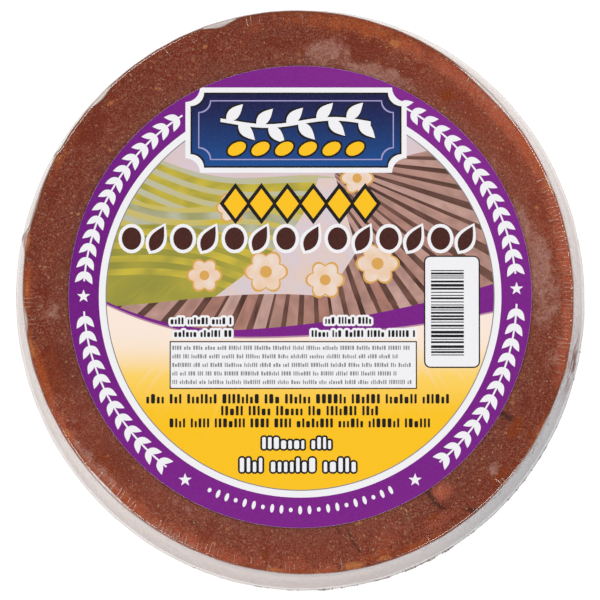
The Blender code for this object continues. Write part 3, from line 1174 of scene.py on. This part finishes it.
def film_mesh(given, sugar_radius):
    """The film as a shell: an outer skin and, one thickness inside it, the same skin turned inside out."""
    form = RoundForm(FILM_COLUMNS)
    top_rim = reach(TOP_RADIUS, TOP_WAVES, form.angle) - 1.45 * dent_depth(form.angle, RIM_BUMPS)
    low_rim = reach(LOWER_RADIUS + WELD_PROUD, LOWER_WAVES, form.angle)
    heights = (FILM_TOP, FILM_UNDERSIDE)
    bends = (TOP_EDGE, UNDER_EDGE)
    form.section(top_rim, low_rim, *heights, *bends, WELD_HEIGHT, SIDE_HOLLOW, FILM_STEPS)
    points, ways, sheet = form.points()
    depth = FILM_TOP - points[:, 2]
    side = smooth_step(depth / (0.45 * MM))
    tension = np.stack([sheet[:, 0], sheet[:, 1], 0.22 * sheet[:, 2]], axis=-1)
    pull = 0.10 * MM * noise_at(tension, 4.5 * MM, 14) * side
    under = smooth_step((points[:, 2] - 0.5 * MM) / (2.0 * MM))
    outer = points + ways * (pull * under)[:, None]
    inner = outer - ways * given.thickness

    across = points[:, 0] - PLAN_CENTRE.x - TOP_SHIFT_X
    up = points[:, 1] - PLAN_CENTRE.y
    angle = np.arctan2(up, across)
    distance = np.hypot(up, across)
    dent = dent_depth(angle, RIM_DENTS)
    past_rim = distance - (reach(sugar_radius, TOP_WAVES, angle) - dent)
    down = smooth_step(depth / (1.3 * MM))
    # Where the sugar's rim is dented, the film spans a gap.
    gap = smooth_step((past_rim + 0.30 * MM) / (0.3 * MM)) * smooth_step(dent / (0.4 * MM) - 0.3)
    gap *= 1 - down
    # Bent tight over the rim, the film is milky in a thin line, which is also a painted highlight.
    rim_line = 0.7 * smooth_step((past_rim + 0.08 * MM) / (0.14 * MM))
    rim_line *= 1 - smooth_step((depth - 0.5 * MM) / (1.5 * MM))
    # At the lower left, a painted highlight runs along the dented rim, where the film folds over it.
    broken = np.clip(0.6 + 0.9 * noise_at(points, 2.2 * MM, 17, octaves=2), 0, 1)
    fold = np.exp(-(((past_rim + 0.08 * MM) / (0.24 * MM)) ** 2)) * broken * (1 - down)
    fold *= 0.95 * smooth_step(dent / (0.3 * MM) - 0.3) * hump(angle, 225, 12)
    # At the front the film is tight against the rim, so it is clearer; its reflection there is painted
    # shade.
    tight = hump(angle, 276, 34)
    under_rim = 0.75 * tight * smooth_step(1 - depth / (11 * MM))
    # Syrup has crept up under the film in one place, and has dried in blots.
    high = np.exp(-(((points[:, 2] - 12 * MM) / (7 * MM)) ** 2))
    blots = smooth_step(0.8 + 2.2 * noise_at(sheet, 2.4 * MM, 24, octaves=2))
    near_rim = smooth_step((distance - 55 * MM) / (4 * MM)) * pleat_crowd(angle)
    masks = {
        "side": side,
        "loose": side * np.clip((depth - 1.0 * MM) / (21 * MM), 0.5 * (1 - tight), 1),
        "gap": np.maximum(gap, rim_line),
        "fold": fold,
        "stain": 0.9 * (hump(angle, 346, 6) * side) * high * blots,
        "shade": np.maximum(hump(angle, 324, 37), under_rim) * side,
        "pucker": np.maximum(side, near_rim),
    }

    mesh = bpy.data.meshes.new("film")
    faces = form.faces() + form.faces(first=len(outer), inside_out=True)
    mesh.from_pydata(np.concatenate([outer, inner]).tolist(), [], faces)
    for name, values in masks.items():
        set_attribute(mesh, name, np.concatenate([values, values]))
    set_attribute(mesh, "along", np.concatenate([sheet, sheet]), "FLOAT_VECTOR")
    hazes = (given.top_haze, given.side_haze, given.low_haze)
    mesh.materials.append(film_look("Polyolefin shrink film, heat-tightened", given, given.milk, *hazes))
    mesh.shade_smooth()
    return mesh


def loop_mesh(name, radius, height, shift_x, crowd):
    """A closed loop of edges round the block, with a crowd value at each point."""
    count = len(radius)
    angle = np.arange(count) / count * math.tau
    x = PLAN_CENTRE.x + shift_x + radius * np.cos(angle)
    y = PLAN_CENTRE.y + radius * np.sin(angle)
    points = np.stack([x, y, height + 0 * x], axis=-1)
    mesh = bpy.data.meshes.new(name)
    mesh.from_pydata(points.tolist(), [(k, (k + 1) % count) for k in range(count)], [])
    set_attribute(mesh, "crowd", crowd)
    return mesh


class SUGAR_OT_film(Operator):
    """Draw the film over the block, with its pleats and its weld"""

    bl_idname = "sugar_block.make_film"
    bl_label = "Film"

    def execute(self, context):
        given = context.scene.sugar_block.film
        piece = new_piece("film", film_mesh(given, context.scene.sugar_block.sugar.rim_radius))
        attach(piece, BODY)
        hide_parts("wrapped_block")

        angle = np.arange(FILM_COLUMNS) / FILM_COLUMNS * math.tau
        rim = reach(TOP_RADIUS, TOP_WAVES, angle) - PLEAT_INSET
        pleats = grown(
            "film_pleats",
            loop_mesh("pleat_line", rim, FILM_TOP, TOP_SHIFT_X, pleat_crowd(angle)),
            pleat_tree(),
            {
                "Pitch": given.pleat_pitch,
                "Length": given.pleat_length,
                "Width": given.pleat_width,
                "Height": given.pleat_height,
                "Centre": (*PLAN_CENTRE, 0.0),
                "Seed": given.seed,
                "Material": film_look("Polyolefin shrink film, pleated", given, given.milk, *PLEAT_HAZES),
            },
        )
        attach(pleats, BODY)

        low = reach(LOWER_RADIUS, LOWER_WAVES, angle) + WELD_OUTSET
        # The bead is thickest at the front, where the seal wire was hottest.
        crowd = 0.3 + 0.7 * hump(angle, 292, 38)
        weld = grown(
            "film_weld",
            loop_mesh("weld_line", low, WELD_HEIGHT, 0.0, crowd),
            weld_tree(),
            {
                "Pitch": WELD_STEP,
                "Radius": given.weld_radius,
                "Seed": given.seed,
                "Material": film_look(
                    "Polyolefin film, melted by the seal wire", given, given.weld_colour, *WELD_HAZES
                ),
            },
        )
        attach(weld, BODY)
        return {"FINISHED"}


# ---- The label's print: flat shapes in millimetres, from the label's middle ----


def polar(radius, turn, centre=(0.0, 0.0)):
    """The point at a distance and a direction from a centre."""
    return centre[0] + radius * math.cos(turn), centre[1] + radius * math.sin(turn)


def circle(radius, centre=(0.0, 0.0), sides=48):
    """A circle's points, anticlockwise."""
    return [polar(radius, step / sides * math.tau, centre) for step in range(sides)]


def placed(points, centre, turn=0.0):
    """Points turned about the origin, then moved."""
    cos, sin = math.cos(turn), math.sin(turn)
    return [(centre[0] + x * cos - y * sin, centre[1] + x * sin + y * cos) for x, y in points]


def ellipse(width, height, centre, turn=0.0, sides=28):
    """An ellipse's points."""
    turns = np.arange(sides) / sides * math.tau
    return placed([(width / 2 * math.cos(t), height / 2 * math.sin(t)) for t in turns], centre, turn)


def bar(width, height, centre, rounding=0.0):
    """A rectangle, with its corners rounded where it has a rounding."""
    if rounding <= 0:
        x, y = width / 2, height / 2
        return placed([(-x, -y), (x, -y), (x, y), (-x, y)], centre)
    points = []
    corners = ((1, -1, -90), (1, 1, 0), (-1, 1, 90), (-1, -1, 180))
    for side_x, side_y, start in corners:
        middle = (side_x * (width / 2 - rounding), side_y * (height / 2 - rounding))
        points += [polar(rounding, math.radians(start + 22.5 * step), middle) for step in range(5)]
    return placed(points, centre)


def ticket(width, height, bite, centre):
    """A rectangle whose corners are bitten out by quarter circles."""
    points = []
    corners = ((-1, -1, 90), (1, -1, 180), (1, 1, 270), (-1, 1, 0))
    for side_x, side_y, start in corners:
        corner = (side_x * width / 2, side_y * height / 2)
        points += [polar(bite, math.radians(start - 15 * step), corner) for step in range(7)]
    return placed(points, centre)


def leaf(length, width, foot, turn, steps=9):
    """A leaf from its foot to its tip."""
    upper, lower = [], []
    for step in range(steps + 1):
        share = step / steps
        half = width / 2 * math.sin(math.pi * share**0.8)
        upper.append((length * share, half))
        lower.append((length * share, -half))
    return placed(lower + upper[-2:0:-1], foot, turn)


def star(outer, inner, centre):
    """A star with one tip straight up."""
    turns = [math.pi / 2 + math.pi * step / STAR_TIPS for step in range(2 * STAR_TIPS)]
    return [polar((outer, inner)[step % 2], turn, centre) for step, turn in enumerate(turns)]


def between(lower, upper):
    """The region between two curves that both run from left to right."""
    return list(lower) + list(upper)[::-1]


class Print:
    """Flat shapes, each with its ink: a later shape covers the earlier ones."""

    def __init__(self):
        self.outlines = []
        self.inks = []
        self.limits = []

    def lay(self, outline, ink, inside=0):
        """Add a shape in an ink, a colour or a function of the place, shown only inside an earlier shape."""
        turned = zip(outline, outline[1:] + outline[:1])
        if sum(first[0] * second[1] - second[0] * first[1] for first, second in turned) < 0:
            outline = outline[::-1]
        self.outlines.append(outline)
        self.inks.append(ink)
        self.limits.append(inside)
        return len(self.outlines) - 1

    def shown(self, shape, under):
        """Whether a shape shows where the shapes under lie: its limit has to show there too."""
        return shape == 0 or (self.limits[shape] in under and self.shown(self.limits[shape], under))

    def triangles(self, spacing, radius):
        """Split the print along every outline: its points, its triangles and the shape that shows in each.

        Even points are strewn over it too, so that an ink can change from place to place.
        """
        corners, faces = [], []
        for outline in self.outlines:
            faces.append(list(range(len(corners), len(corners) + len(outline))))
            corners.extend(Vector(point) for point in outline)
        steps = int(radius / spacing)
        for row in range(-steps, steps + 1):
            for column in range(-steps, steps + 1):
                point = Vector((column + 0.5 * (row % 2), row)) * spacing
                if point.length < radius:
                    corners.append(point)
        points, _, triangles, _, _, under = delaunay_2d_cdt(corners, [], faces, 1, 1e-4)
        kept = [(triangle, each) for triangle, each in zip(triangles, under) if 0 in each]
        tops = [max(shape for shape in each if self.shown(shape, each)) for _, each in kept]
        used = sorted({corner for triangle, _ in kept for corner in triangle})
        renumbered = {corner: order for order, corner in enumerate(used)}
        faces = [tuple(renumbered[corner] for corner in triangle) for triangle, _ in kept]
        return [points[corner] for corner in used], faces, tops


RING_INNER = 44.15  # mm, the purple ring's inner edge
FIELD_RADIUS = 42.45  # mm, the picture and the lower field
STAR_TIPS = 5
PETALS = 6
PETAL_DEPTH = 0.13  # half of how deep the outline dips between petals, as a share of the radius


def ground_ink(given):
    """The lower field's ink: cream at the top, through pale yellow, to full yellow at the bottom."""
    heights = (-29.0, -25.0, -22.0, -19.4, -17.2, -15.0, -12.8, -10.6, -7.0)
    full = (1.0, 0.96, 0.55, 0.25, 0.0, 0.0, 0.0, 0.0, 0.0)
    pale = (1.0, 1.0, 1.0, 1.0, 1.0, 0.62, 0.34, 0.10, 0.0)

    def ink(x, y):
        upper = blend_of(given.cream, given.pale_yellow, float(np.interp(y, heights, pale)))
        return blend_of(upper, given.yellow, float(np.interp(y, heights, full)))

    return ink


def ring_ink(given):
    """The ring's ink, with painted light: the purple is painted lighter at the right, the top and the
    bottom.
    """

    def ink(x, y):
        turn = math.degrees(math.atan2(y, x))
        sideways = math.cos(math.radians(turn - 18))
        upright = math.cos(math.radians(2 * (turn - 70)))
        return blend_of(given.purple, given.lit_purple, 0.5 + 0.25 * (sideways + upright))

    return ink


def wash(colour, other, amount, width, seed):
    """An ink that wanders between two colours, like a painted wash."""

    def ink(x, y):
        share = 0.5 + noise.noise(Vector((x / width + seed, y / width, 0.37 * seed)))
        return blend_of(colour, other, min(max(share, 0.0), 1.0) * amount)

    return ink


def swoosh_low(x):
    """The lower edge of the purple band under the picture."""
    steepness = 0.0078 if x < -12 else 0.0019
    return -8.9 + steepness * (x + 12) ** 2


def blossom(radius, centre):
    """A flower's outline, with eight points to a petal."""
    turns = [math.tau * step / (8 * PETALS) for step in range(8 * PETALS)]
    waves = [
        1 - PETAL_DEPTH + PETAL_DEPTH * abs(math.cos(PETALS * turn / 2)) * 2 - PETAL_DEPTH for turn in turns
    ]
    return [polar(radius * wave, turn, centre) for wave, turn in zip(waves, turns)]


def lay_picture(sheet, given, field):
    """A made-up farm: striped green hills, a path and ploughed ground, with cream blossoms before them."""
    rng = random.Random(12)
    across = np.linspace(-43.5, 43.5, 60)
    edge = [(x, swoosh_low(x)) for x in across]
    sky = wash(given.mauve, given.rose, 0.5, 9.0, 2)
    picture = sheet.lay(between(edge, [(-43.5, 43.5), (43.5, 43.5)]), sky, field)

    # Hills, the far ones first: (crest at the left, crest at the right, wave, start, first and second ink).
    hills = (
        (33.0, 24.0, 2.2, 0.6, given.pale_green, given.green),
        (25.0, 14.0, 2.6, 2.1, given.green, given.pale_green),
        (16.0, 9.0, 1.8, 4.4, given.deep_green, given.green),
    )
    for step, (left, right, wave, start, ink, other) in enumerate(hills):
        crest = [(x, np.interp(x, (-43, 8), (left, right)) + wave * math.sin(x / 9 + start)) for x in across]
        slope = between([(-43.5, -12.0), (43.5, -12.0)], crest)
        hill = sheet.lay(slope, wash(ink, other, 0.4, 5.0, step), picture)
        for row in range(4):
            top = [(x, y - 1.6 - 2.9 * row - 0.02 * x) for x, y in crest]
            low = [(x, y - 1.35 - 0.012 * (x + 43.5)) for x, y in top]
            sheet.lay(between(low, top), wash(other, given.deep_green, 0.7, 3.0, 10 * step + row), hill)

    # A pale path widens towards the front, between the hills and the ploughed ground.
    right_side = [(9.0 + 5.0 * math.sin(v / 9.0), 26.0 - v) for v in np.linspace(0, 38, 20)]
    left_side = [(4.0 + 4.0 * math.sin(v / 8.0) - 0.85 * v, 26.0 - v) for v in np.linspace(0, 38, 20)]
    sheet.lay(left_side + right_side[::-1], wash(given.mauve, given.petal, 0.6, 4.0, 21), picture)

    # Ploughed ground: light ridges over a dark furrow, fanned out from a place beyond the hills.
    field = [(7.5, 27.0), (44.0, 36.0), (44.0, -12.0), (-2.0, -12.0), (12.5, 10.0)]
    ground = wash(given.deep_furrow, given.furrow, 0.3, 3.0, 9)
    ploughed = sheet.lay(field, ground, picture)
    crest = [(x, max(y + 0.3, -1.0 + 1.5 * math.sin(x / 14 + 2))) for x, y in edge]
    front = sheet.lay(between(edge, crest), ground, picture)
    near, far = 4.0, 75.0
    for step in range(44):
        turn = math.radians(-182 + 5.4 * step + rng.uniform(-0.4, 0.4))
        tone = blend_of(given.furrow, given.rose, rng.uniform(0.0, 0.55))
        ink = wash(tone, given.deep_furrow, 0.35, 1.6, 40 + step)
        for spread, ground in ((1.7, ploughed), (1.9, front)):
            half = math.radians(spread)
            ends = ((near, turn - half), (far, turn - half), (far, turn + half), (near, turn + half))
            sheet.lay([polar(*end, (2.0, 31.0)) for end in ends], ink, ground)

    # Blossoms: cream petals with a golden edge and a golden middle.
    in_front = ((-21, 4.6, 4.0), (-7.5, 5.4, 4.9), (5.5, 3.6, 4.4), (17.0, 7.2, 4.9))
    behind = ((-15.0, 19.5, 3.6), (12.5, 26.0, 3.8))
    for step, (x, y, radius) in enumerate(in_front + behind):
        petals = wash(given.petal, given.paper, 0.5, 2.0, 90 + step)
        sheet.lay(blossom(radius, (x, y)), given.petal_edge, picture)
        sheet.lay(blossom(radius - 0.5, (x, y)), petals, picture)
        sheet.lay(circle(radius * 0.27, (x, y), 16), given.petal_edge, picture)
    return picture


def lay_marks(sheet, shapes, ink, outline_ink, grow):
    """A row of marks with an outline round each: shapes are functions of how far they are grown."""
    for shape in shapes:
        sheet.lay(shape(grow), outline_ink)
    for shape in shapes:
        sheet.lay(shape(0.0), ink)


def lay_titles(sheet, given):
    """Two rows of plain ornaments: yellow lozenges with a dark edge, and brown beads with a white edge."""

    def lozenge(x):
        return lambda grow: [
            (x - 2.5 - grow, 20.4),
            (x, 20.4 - 3.3 - 1.25 * grow),
            (x + 2.5 + grow, 20.4),
            (x, 20.4 + 3.3 + 1.25 * grow),
        ]

    def bead(x, turn):
        return lambda grow: ellipse(4.3 + 2 * grow, 5.0 + 2 * grow, (x, 12.7), turn, 20)

    def leaflet(x, turn):
        return lambda grow: leaf(
            6.2 + 2 * grow, 3.0 + 2 * grow, polar(-3.1 - grow, turn, (x, 12.7)), turn
        )

    lozenges = [lozenge(-14.2 + 5.7 * step) for step in range(6)]
    lay_marks(sheet, lozenges, given.yellow, given.black, 1.0)
    row = []
    for step in range(14):
        x = -37.0 + 5.65 * step
        if step % 2 == 0:
            row.append(bead(x, 0.0))
        else:
            row.append(leaflet(x, math.radians(62)))
    lay_marks(sheet, row, given.brown, given.paper, 0.75)


def lay_rows(sheet, rows, ink, seed, halo=None, grow=0.5):
    """Rows of small plain pills in place of lettering: (left, right, middle height, pill height) each."""
    rng = random.Random(seed)
    pills = []
    for left, right, middle, height in rows:
        x = left
        while x < right:
            for _ in range(rng.randint(3, 8)):
                width = height * rng.choice((0.24, 0.30, 0.42))
                if x + width > right:
                    break
                tall = height * rng.choice((0.72, 1.0, 1.0))
                drop = (height - tall) / 2
                pills.append((x + width / 2, middle - drop, width, tall))
                x += width + height * 0.19
            x += height * 0.42
    if halo is not None:
        for x, y, width, tall in pills:
            sheet.lay(bar(width + 2 * grow, tall + 2 * grow, (x, y), width / 2 + grow * 0.8), halo)
    for x, y, width, tall in pills:
        sheet.lay(bar(width, tall, (x, y), width * 0.35), ink)


def lay_panels(sheet, given):
    """A white panel of fine grey rows, plain rows in black, two rows in white, and a plate of plain bars."""
    lay_rows(sheet, ((-28.4, -14.6, -5.4, 1.5), (-27.6, -15.0, -8.2, 1.5)), given.black, 1, given.paper)
    lay_rows(sheet, ((5.5, 16.0, -5.3, 1.5), (2.5, 25.3, -8.2, 1.5)), given.black, 2, given.paper)

    sheet.lay(bar(54.2, 10.5, (-1.5, -15.1)), given.black)
    sheet.lay(bar(53.7, 10.0, (-1.5, -15.1)), given.paper)
    grey = blend_of(given.black, given.paper, 0.28)
    fine = [(-28.0, 24.6 - 3.0 * (row % 2), -11.3 - 1.88 * row, 0.95) for row in range(5)]
    lay_rows(sheet, fine, grey, 3)

    bold = ((-33.7, 33.7, -22.5, 2.1), (-17.3, 17.2, -25.1, 2.1), (-28.6, 28.7, -27.8, 2.0))
    lay_rows(sheet, bold, given.black, 4)
    lay_rows(sheet, ((-8.3, 7.6, -32.2, 2.6), (-13.2, 12.2, -37.0, 3.1)), given.paper, 5, given.black, 0.42)

    plate = (33.3, -3.4)
    sheet.lay(bar(12.3, 24.7, plate, 1.4), given.black)
    sheet.lay(bar(11.7, 24.1, plate, 1.1), given.paper)
    rng = random.Random(6)
    y = -13.0
    while y < 5.6:
        height = rng.choice((0.22, 0.22, 0.44, 0.62))
        sheet.lay(bar(7.2, height, (32.3, y + height / 2)), given.black)
        y += height + rng.choice((0.22, 0.3, 0.46))


def lay_plaque(sheet, given):
    """A dark blue plaque over the top of the ring, with a plain sprig over a row of yellow seeds."""
    middle = (-0.9, 36.6)
    sheet.lay(ticket(48.6, 18.8, 3.2, middle), given.paper)
    sheet.lay(ticket(46.4, 16.6, 3.0, middle), given.black)

    def depth(x, y):
        share = min(max((middle[1] + 8.0 - y) / 16.0, 0.0), 1.0)
        return blend_of(given.navy, given.blue, share**1.6)

    sheet.lay(ticket(45.6, 15.8, 2.9, middle), depth)
    sheet.lay(ticket(43.0, 13.2, 2.6, middle), given.lilac)
    sheet.lay(ticket(42.5, 12.7, 2.6, middle), depth)

    stem = [(x, middle[1] + 1.7 + 0.8 * math.sin(x / 4.6)) for x in np.linspace(-17.5, 15.5, 26)]
    for ink, grow in ((given.black, 0.4), (given.paper, 0.0)):
        lower, upper = ([(x, y + side * (0.4 + grow)) for x, y in stem] for side in (-1, 1))
        sheet.lay(between(lower, upper), ink)
        for step in range(10):
            x, y = stem[1 + 2 * step + step // 2]
            turn = math.radians(46 if step % 2 == 0 else -46)
            sheet.lay(leaf(5.2 + grow, 2.5 + 2 * grow, (x - grow / 2, y), turn), ink)
    for ink, grow in ((given.black, 0.45), (given.yellow, 0.0)):
        for step in range(6):
            centre = (middle[0] - 13.0 + 5.2 * step, middle[1] - 4.1)
            sheet.lay(ellipse(4.3 + 2 * grow, 2.7 + 2 * grow, centre, math.radians(28), 16), ink)


def lay_ring(sheet, given):
    """White sprigs and stars that run round the purple ring."""
    middle = 47.5
    for start, end in ((123, 176), (184, 232), (64, 6), (-2, -50)):
        stem = math.radians(1) * np.linspace(start, end, 40)
        inner, outer = ([polar(middle + side * 0.2, t) for t in stem] for side in (-1, 1))
        sheet.lay(between(inner, outer), given.paper)
        pairs = round(abs(end - start) / 3.9)
        onward = math.copysign(math.pi / 2, end - start)
        for step in range(pairs):
            t = math.radians(start + (end - start) * (step + 0.3) / pairs)
            for side in (-1, 1):
                turn = t + onward + side * math.radians(36)
                sheet.lay(leaf(3.3, 1.45, polar(middle, t), turn, 7), given.paper)
    for degrees in (180, 238, 302, 2):
        sheet.lay(star(1.5, 0.62, polar(middle, math.radians(degrees))), given.paper)
    for step in range(21):
        t = math.radians(245 + 2.5 * step)
        long = 1.9 if step % 3 else 1.0
        sheet.lay(ellipse(long, 0.85, polar(46.9, t), t, 12), given.paper)


def label_print(given):
    """The whole print, from the bare paper up."""
    sheet = Print()
    sheet.lay(circle(LABEL_RADIUS / MM, sides=256), given.paper)
    sheet.lay(circle(LABEL_RADIUS / MM - 0.015, sides=256), ring_ink(given))
    sheet.lay(circle(RING_INNER, sides=192), given.paper)
    sheet.lay(circle(FIELD_RADIUS + 0.22, sides=192), blend_of(given.black, given.paper, 0.25))
    field = sheet.lay(circle(FIELD_RADIUS, sides=192), ground_ink(given))
    lay_picture(sheet, given, field)
    across = np.linspace(-43.0, 43.0, 50)
    low = [(x, swoosh_low(x)) for x in across]
    band = blend_of(given.purple, given.lit_purple, 0.5)
    line = blend_of(band, given.rose, 0.5)
    sheet.lay(between([(x, y - 0.35) for x, y in low], low), line, field)
    high = [(x, y + 0.5 + 5.6 * max((x + 43) / 86, 0.0) ** 1.6) for x, y in low]
    sheet.lay(between(low, high), band, field)
    lay_ring(sheet, given)
    lay_titles(sheet, given)
    lay_panels(sheet, given)
    lay_plaque(sheet, given)
    return sheet


def paper_look():
    """Coated paper, offset-printed: a thin even gloss over ink that is very slightly mottled."""
    look, tree, shader = new_look("Coated paper, offset-printed")
    ink = node(tree, "ShaderNodeAttribute", attribute_name="ink").outputs["Color"]
    place = node(tree, "ShaderNodeTexCoord").outputs["Object"]
    # Print mottle: patches of 0.7 mm where the ink lies a little thinner.
    patchy = {"Vector": place, "Scale": 1 / (0.7 * MM), "Detail": 3.0, "Roughness": 0.7}
    mottle = node(tree, "ShaderNodeTexNoise", patchy)
    thin_ink = (0.4, 0.36, 0.4, 1.0)
    colour = layered(tree, ink, (((mottle, 0.35, 0.75, 0.03), thin_ink),))
    # The paper lies on film over lumpy sugar, so it is very slightly uneven, over 12 mm.
    wave = node(tree, "ShaderNodeTexNoise", {"Vector": place, "Scale": 1 / (12 * MM), "Detail": 2.0})
    bump = node(tree, "ShaderNodeBump", {"Height": wave, "Strength": 0.35, "Distance": 0.25 * MM})
    values = {"Base Color": colour, "Normal": bump, "Roughness": 0.42, "IOR": 1.5}
    finish(tree, shader, {**values, "Specular IOR Level": 0.25})
    return look


def label_mesh(given):
    """The printed sheet: its face split along the edges of the inks, with a thin edge and a back."""
    sheet = label_print(given)
    flat, triangles, tops = sheet.triangles(1.3, FIELD_RADIUS)
    low = FILM_TOP + given.above_film
    high = low + given.thickness
    points = [(LABEL_CENTRE.x + p.x * MM, LABEL_CENTRE.y + p.y * MM, high) for p in flat]

    # The outer edge: the sides that only one triangle has, in order round the label.
    sides = dict.fromkeys(side for corners in triangles for side in zip(corners, corners[1:] + corners[:1]))
    border = {first: second for first, second in sides if (second, first) not in sides}
    start = next(iter(border))
    loop = [start]
    while border[loop[-1]] != start:
        loop.append(border[loop[-1]])
    if len(loop) != len(border):
        raise RuntimeError("the label's edge isn't one loop")
    under = {index: len(points) + order for order, index in enumerate(loop)}
    points += [(points[index][0], points[index][1], low) for index in loop]
    faces = list(triangles)
    for first, second in zip(loop, loop[1:] + loop[:1]):
        faces.append((second, first, under[first], under[second]))
    faces.append(tuple(under[index] for index in reversed(loop)))

    mesh = bpy.data.meshes.new("printed_label")
    mesh.from_pydata(points, [], faces)
    colours = np.empty((len(mesh.loops), 4), np.float32)
    colours[:] = given.paper
    for polygon, top in zip(mesh.polygons, tops):
        ink = sheet.inks[top]
        for corner in polygon.loop_indices:
            place = flat[mesh.loops[corner].vertex_index]
            colours[corner] = ink(*place) if callable(ink) else tuple(ink)
    attribute = mesh.attributes.new("ink", "FLOAT_COLOR", "CORNER")
    attribute.data.foreach_set("color", colours.ravel())
    mesh.materials.append(paper_look())
    return mesh


class SUGAR_OT_label(Operator):
    """Print and cut the round label"""

    bl_idname = "sugar_block.make_label"
    bl_label = "Label"

    def execute(self, context):
        piece = new_piece("printed_label", label_mesh(context.scene.sugar_block.label))
        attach(piece, BODY)
        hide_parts("label")
        return {"FINISHED"}


# ---- The stage ----


def look_at(thing, place, target):
    """Put a lamp or a camera at a place, looking at a target, with the frame's +Y up in its view."""
    thing.location = place
    thing.rotation_euler = (target - place).to_track_quat("-Z", "Y").to_euler()


# The softboxes: degrees round the block, and share of the lamp power.
SOFTBOXES = ((40, 1.15), (130, 1.0), (222, 1.0), (312, 0.9))
SOFTBOX_SIDE = 0.42  # metres
SOFTBOX_DISTANCE = 0.72  # metres from the middle, in plan
SOFTBOX_HEIGHT = 0.86  # metres
TABLE_HALF = 4.0  # metres
TABLE_HEIGHT = -0.02 * MM
# The view's middle passes just in front of the middle of the block.
VIEW_MIDDLE = Vector((-0.06 * MM, -1.80 * MM, FILM_TOP))


class SUGAR_OT_stage(Operator):
    """Set up the white table, the soft lamps and the camera"""

    bl_idname = "sugar_block.make_stage"
    bl_label = "Stage"

    def execute(self, context):
        scene = context.scene
        given = scene.sugar_block.stage

        camera = bpy.data.cameras.new("camera")
        camera.sensor_width = 36.0
        camera.lens = camera.sensor_width * given.distance / given.field
        camera.clip_start = 0.01
        holder = new_piece("camera", camera)
        lean = Vector((0.0, -math.sin(given.tilt), math.cos(given.tilt)))
        look_at(holder, VIEW_MIDDLE + lean * given.distance, VIEW_MIDDLE)
        scene.camera = holder

        for degrees, share in SOFTBOXES:
            lamp = bpy.data.lights.new(f"softbox_{degrees}", "AREA")
            lamp.shape = "SQUARE"
            lamp.size = SOFTBOX_SIDE
            lamp.energy = given.lamp_power * share
            place = Vector((*polar(SOFTBOX_DISTANCE, math.radians(degrees)), SOFTBOX_HEIGHT))
            look_at(new_piece(lamp.name, lamp), place, Vector((0.0, 0.0, FILM_TOP)))

        world = bpy.data.worlds.new("studio")
        world.use_nodes = True
        background = world.node_tree.nodes["Background"]
        background.inputs["Color"].default_value = (1.0, 1.0, 1.0, 1.0)
        background.inputs["Strength"].default_value = given.room
        scene.world = world
        scene.view_settings.view_transform = "Standard"

        mesh = bpy.data.meshes.new("table")
        far = TABLE_HALF
        corners = [(x, y, TABLE_HEIGHT) for x, y in ((-far, -far), (far, -far), (far, far), (-far, far))]
        mesh.from_pydata(corners, [], [(0, 1, 2, 3)])
        look, tree, shader = new_look("White acrylic, lit from below")
        values = {"Base Color": linear("#808080"), "Roughness": 0.6, "Emission Color": linear("#ffffff")}
        finish(tree, shader, {**values, "Emission Strength": given.table_glow})
        mesh.materials.append(look)
        new_piece("table", mesh)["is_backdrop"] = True
        return {"FINISHED"}


class SUGAR_PT_panel(Panel):
    """Buttons for each group of pieces, in the 3D view's sidebar"""

    bl_label = "Sugar Block"
    bl_idname = "SUGAR_PT_panel"
    bl_space_type = "VIEW_3D"
    bl_region_type = "UI"
    bl_category = "Sugar Block"

    def draw(self, context):
        for maker in MAKERS:
            self.layout.operator(maker.bl_idname)
        for group in context.scene.sugar_block.bl_rna.properties:
            if group.type == "POINTER" and group.identifier != "rna_type":
                settings = getattr(context.scene.sugar_block, group.identifier)
                box = self.layout.box()
                box.label(text=group.identifier.capitalize())
                for name in settings.__annotations__:
                    box.prop(settings, name)


SETTINGS = (SugarSettings, GrainSettings, FilmSettings, LabelSettings, StageSettings, SugarBlockSettings)
MAKERS = (SUGAR_OT_block, SUGAR_OT_grains, SUGAR_OT_film, SUGAR_OT_label, SUGAR_OT_stage)
CLASSES = (*SETTINGS, *MAKERS, SUGAR_PT_panel)


def register():
    for each in CLASSES:
        bpy.utils.register_class(each)
    bpy.types.Scene.sugar_block = PointerProperty(type=SugarBlockSettings)


def unregister():
    del bpy.types.Scene.sugar_block
    for each in reversed(CLASSES):
        bpy.utils.unregister_class(each)


def main():
    register()
    bpy.ops.sugar_block.make_block()
    bpy.ops.sugar_block.make_grains()
    bpy.ops.sugar_block.make_film()
    bpy.ops.sugar_block.make_label()
    bpy.ops.sugar_block.make_stage()
    boxes = {"cad": CAD_BOUNDS, "visual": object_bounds()}
    {name: [list(corner) for corner in box] for name, box in boxes.items()}


if __name__ == "__main__":
    main()
